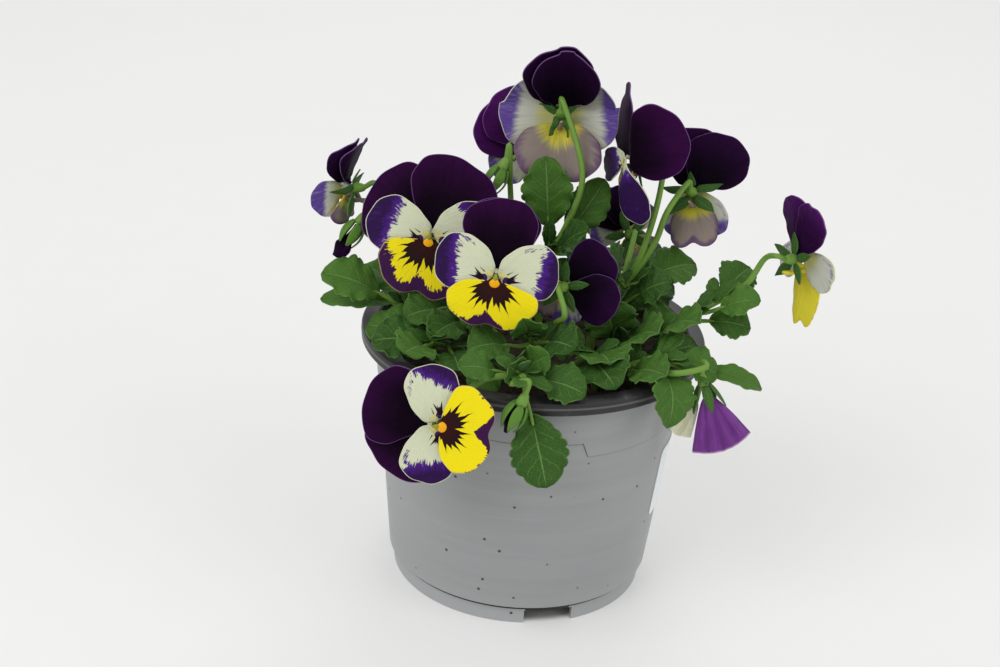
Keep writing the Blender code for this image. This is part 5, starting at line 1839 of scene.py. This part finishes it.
def crumpled(rows, apex, down, facing, length, width, pleats, depth):
    """A pleated fan that hangs down from its apex."""
    down = Vector(down).normalized()
    facing = Vector(facing)
    facing = (facing - down * facing.dot(down)).normalized()
    across = facing.cross(down)
    made = add_grid("crumpled", 16 * pleats, rows)
    rim = made.data.attributes.new("rim", "FLOAT", "POINT")
    for vertex in made.data.vertices:
        breadth, share = vertex.co.x, (1 - vertex.co.y) / 2
        column = (breadth + 1) * pleats
        zigzag = 1 - abs(column % 2 - 1)
        zigzag = 3 * zigzag**2 - 2 * zigzag**3
        reach = length * (0.04 + share * (1 - 0.12 * breadth**2 - 0.05 * zigzag))
        spread = breadth * width / 2 * (0.16 + 0.84 * share**0.8)
        crease = 0.25 * noise.noise(Vector((breadth * 5, share * 4, apex[0])))
        fold = depth * ((zigzag - 0.5) * share + 0.9 * (1 - breadth**2) * share + crease * share)
        vertex.co = (Vector(apex) + down * reach + across * spread + facing * fold) * MM
        rim.data[vertex.index].value = share
    return finish_with(made, "SOLIDIFY", thickness=WITHERED_THICKNESS * MM, offset=0)


def wilted_petal(name, low, high, vein, rim):
    finish = Finish(name, 0.6, Specular_IOR_Level=0.25, Sheen_Weight=0.15)
    place = finish.place()
    u, v, _ = finish.uv()
    lines = finish.cloud(finish.joined(finish.times(u, 46), finish.times(v, 1.5)), 1.0, 4)
    blotches = finish.cloud(place, 200, 4)
    colour = finish.mix(finish.plus(blotches, finish.times(v, 0.2)), low, high)
    colour = finish.mix(finish.times(finish.step(lines, 0.52, 0.7), 0.5), colour, vein)
    colour = finish.mix(finish.step(finish.mark("rim"), 0.965, 0.985), colour, rim)
    finish.bump(lines, 0.3)
    return finish.colour(colour)


def furled(bloom, length, radii, ridges):
    """A tube that swells through the four radii along the bloom's axis, with a twist of ridges."""
    frame = bloom_frame(bloom)
    shares = [place / 14 for place in range(15)]
    path = [frame @ Vector((0, 0, CLAW_START + length * share)) for share in shares]
    widths = []
    for share in shares:
        place = share * 3
        low = min(2, int(place))
        widths.append(radii[low] + (radii[low + 1] - radii[low]) * (place - low))
    made = tube(path, widths, 6)
    back = frame.inverted()
    for vertex in made.data.vertices:
        local = back @ (vertex.co / MM)
        turn = math.atan2(local.y, local.x)
        swell = 1 + 0.10 * math.sin(ridges * turn + local.z * 0.7)
        vertex.co = frame @ Vector((local.x * swell, local.y * swell, local.z)) * MM
    return made


def hang_petal(kind, slot, sheet, start, end, radii, finish):
    """Joins a withered petal and the foot by which it hangs from the calyx."""
    start, end = Vector(start), Vector(end)
    foot = tube([start, start.lerp(end, 0.5), end], radii)
    piece = join("grown_bloom_wilted_" + kind, [sheet, foot])
    piece.data.materials.append(finish)
    settle(piece, slot, "bloom_wilted_" + kind)


def make_wilted(bloom):
    middle = bloom_frame(bloom) @ Vector((0, 0, CLAW_START))
    fan = crumpled(22, (51.0, -32.0, 77.8), (0.41, -0.06, -1), (0.1, -1, 0.1), 17.5, 18.0, 4, 1.8)
    start, radii = middle + Vector((0.25, -0.2, 0)), (0.5, 0.6, 0.75)
    magenta = wilted_petal("wilted_magenta", *MAGENTAS)
    hang_petal("crumpled_petals", "wilted_magenta", fan, start, (51.5, -32.0, 76.3), radii, magenta)
    limp = crumpled(18, (48.6, -30.9, 75.1), (-0.5, -0.1, -1), (-0.1, -1, 0.1), 11.5, 8.5, 2, 1.0)
    start, radii = middle + Vector((-0.7, 0.7, -0.5)), (0.45, 0.5, 0.6)
    cream = wilted_petal("limp_cream", *LIMP_CREAMS)
    hang_petal("limp_petal", "side_cream", limp, start, (47.9, -30.9, 73.7), radii, cream)


def make_bud(bloom, length, radii, ridges):
    piece = join("grown_" + bloom.name + "_furled_petals", [furled(bloom, length, radii, ridges)])
    piece.data.materials.append(UPPER_BACK)
    settle(piece, "upper_purple", bloom.name + "_furled_petals")


make_wilted(WILTED)
make_bud(HANGING_BUD, 8.5, (0.8, 1.7, 1.7, 0.5), 5)
make_bud(DARK_BUD, 11.5, (0.8, 1.1, 2.7, 1.6), 3)
bpy.data.objects.remove(petal_model, do_unlink=True)

# %% Sizes and finish
triangles = sum(len(face.vertices) - 2 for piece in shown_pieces() for face in piece.data.polygons)
print("triangles in all:", triangles)
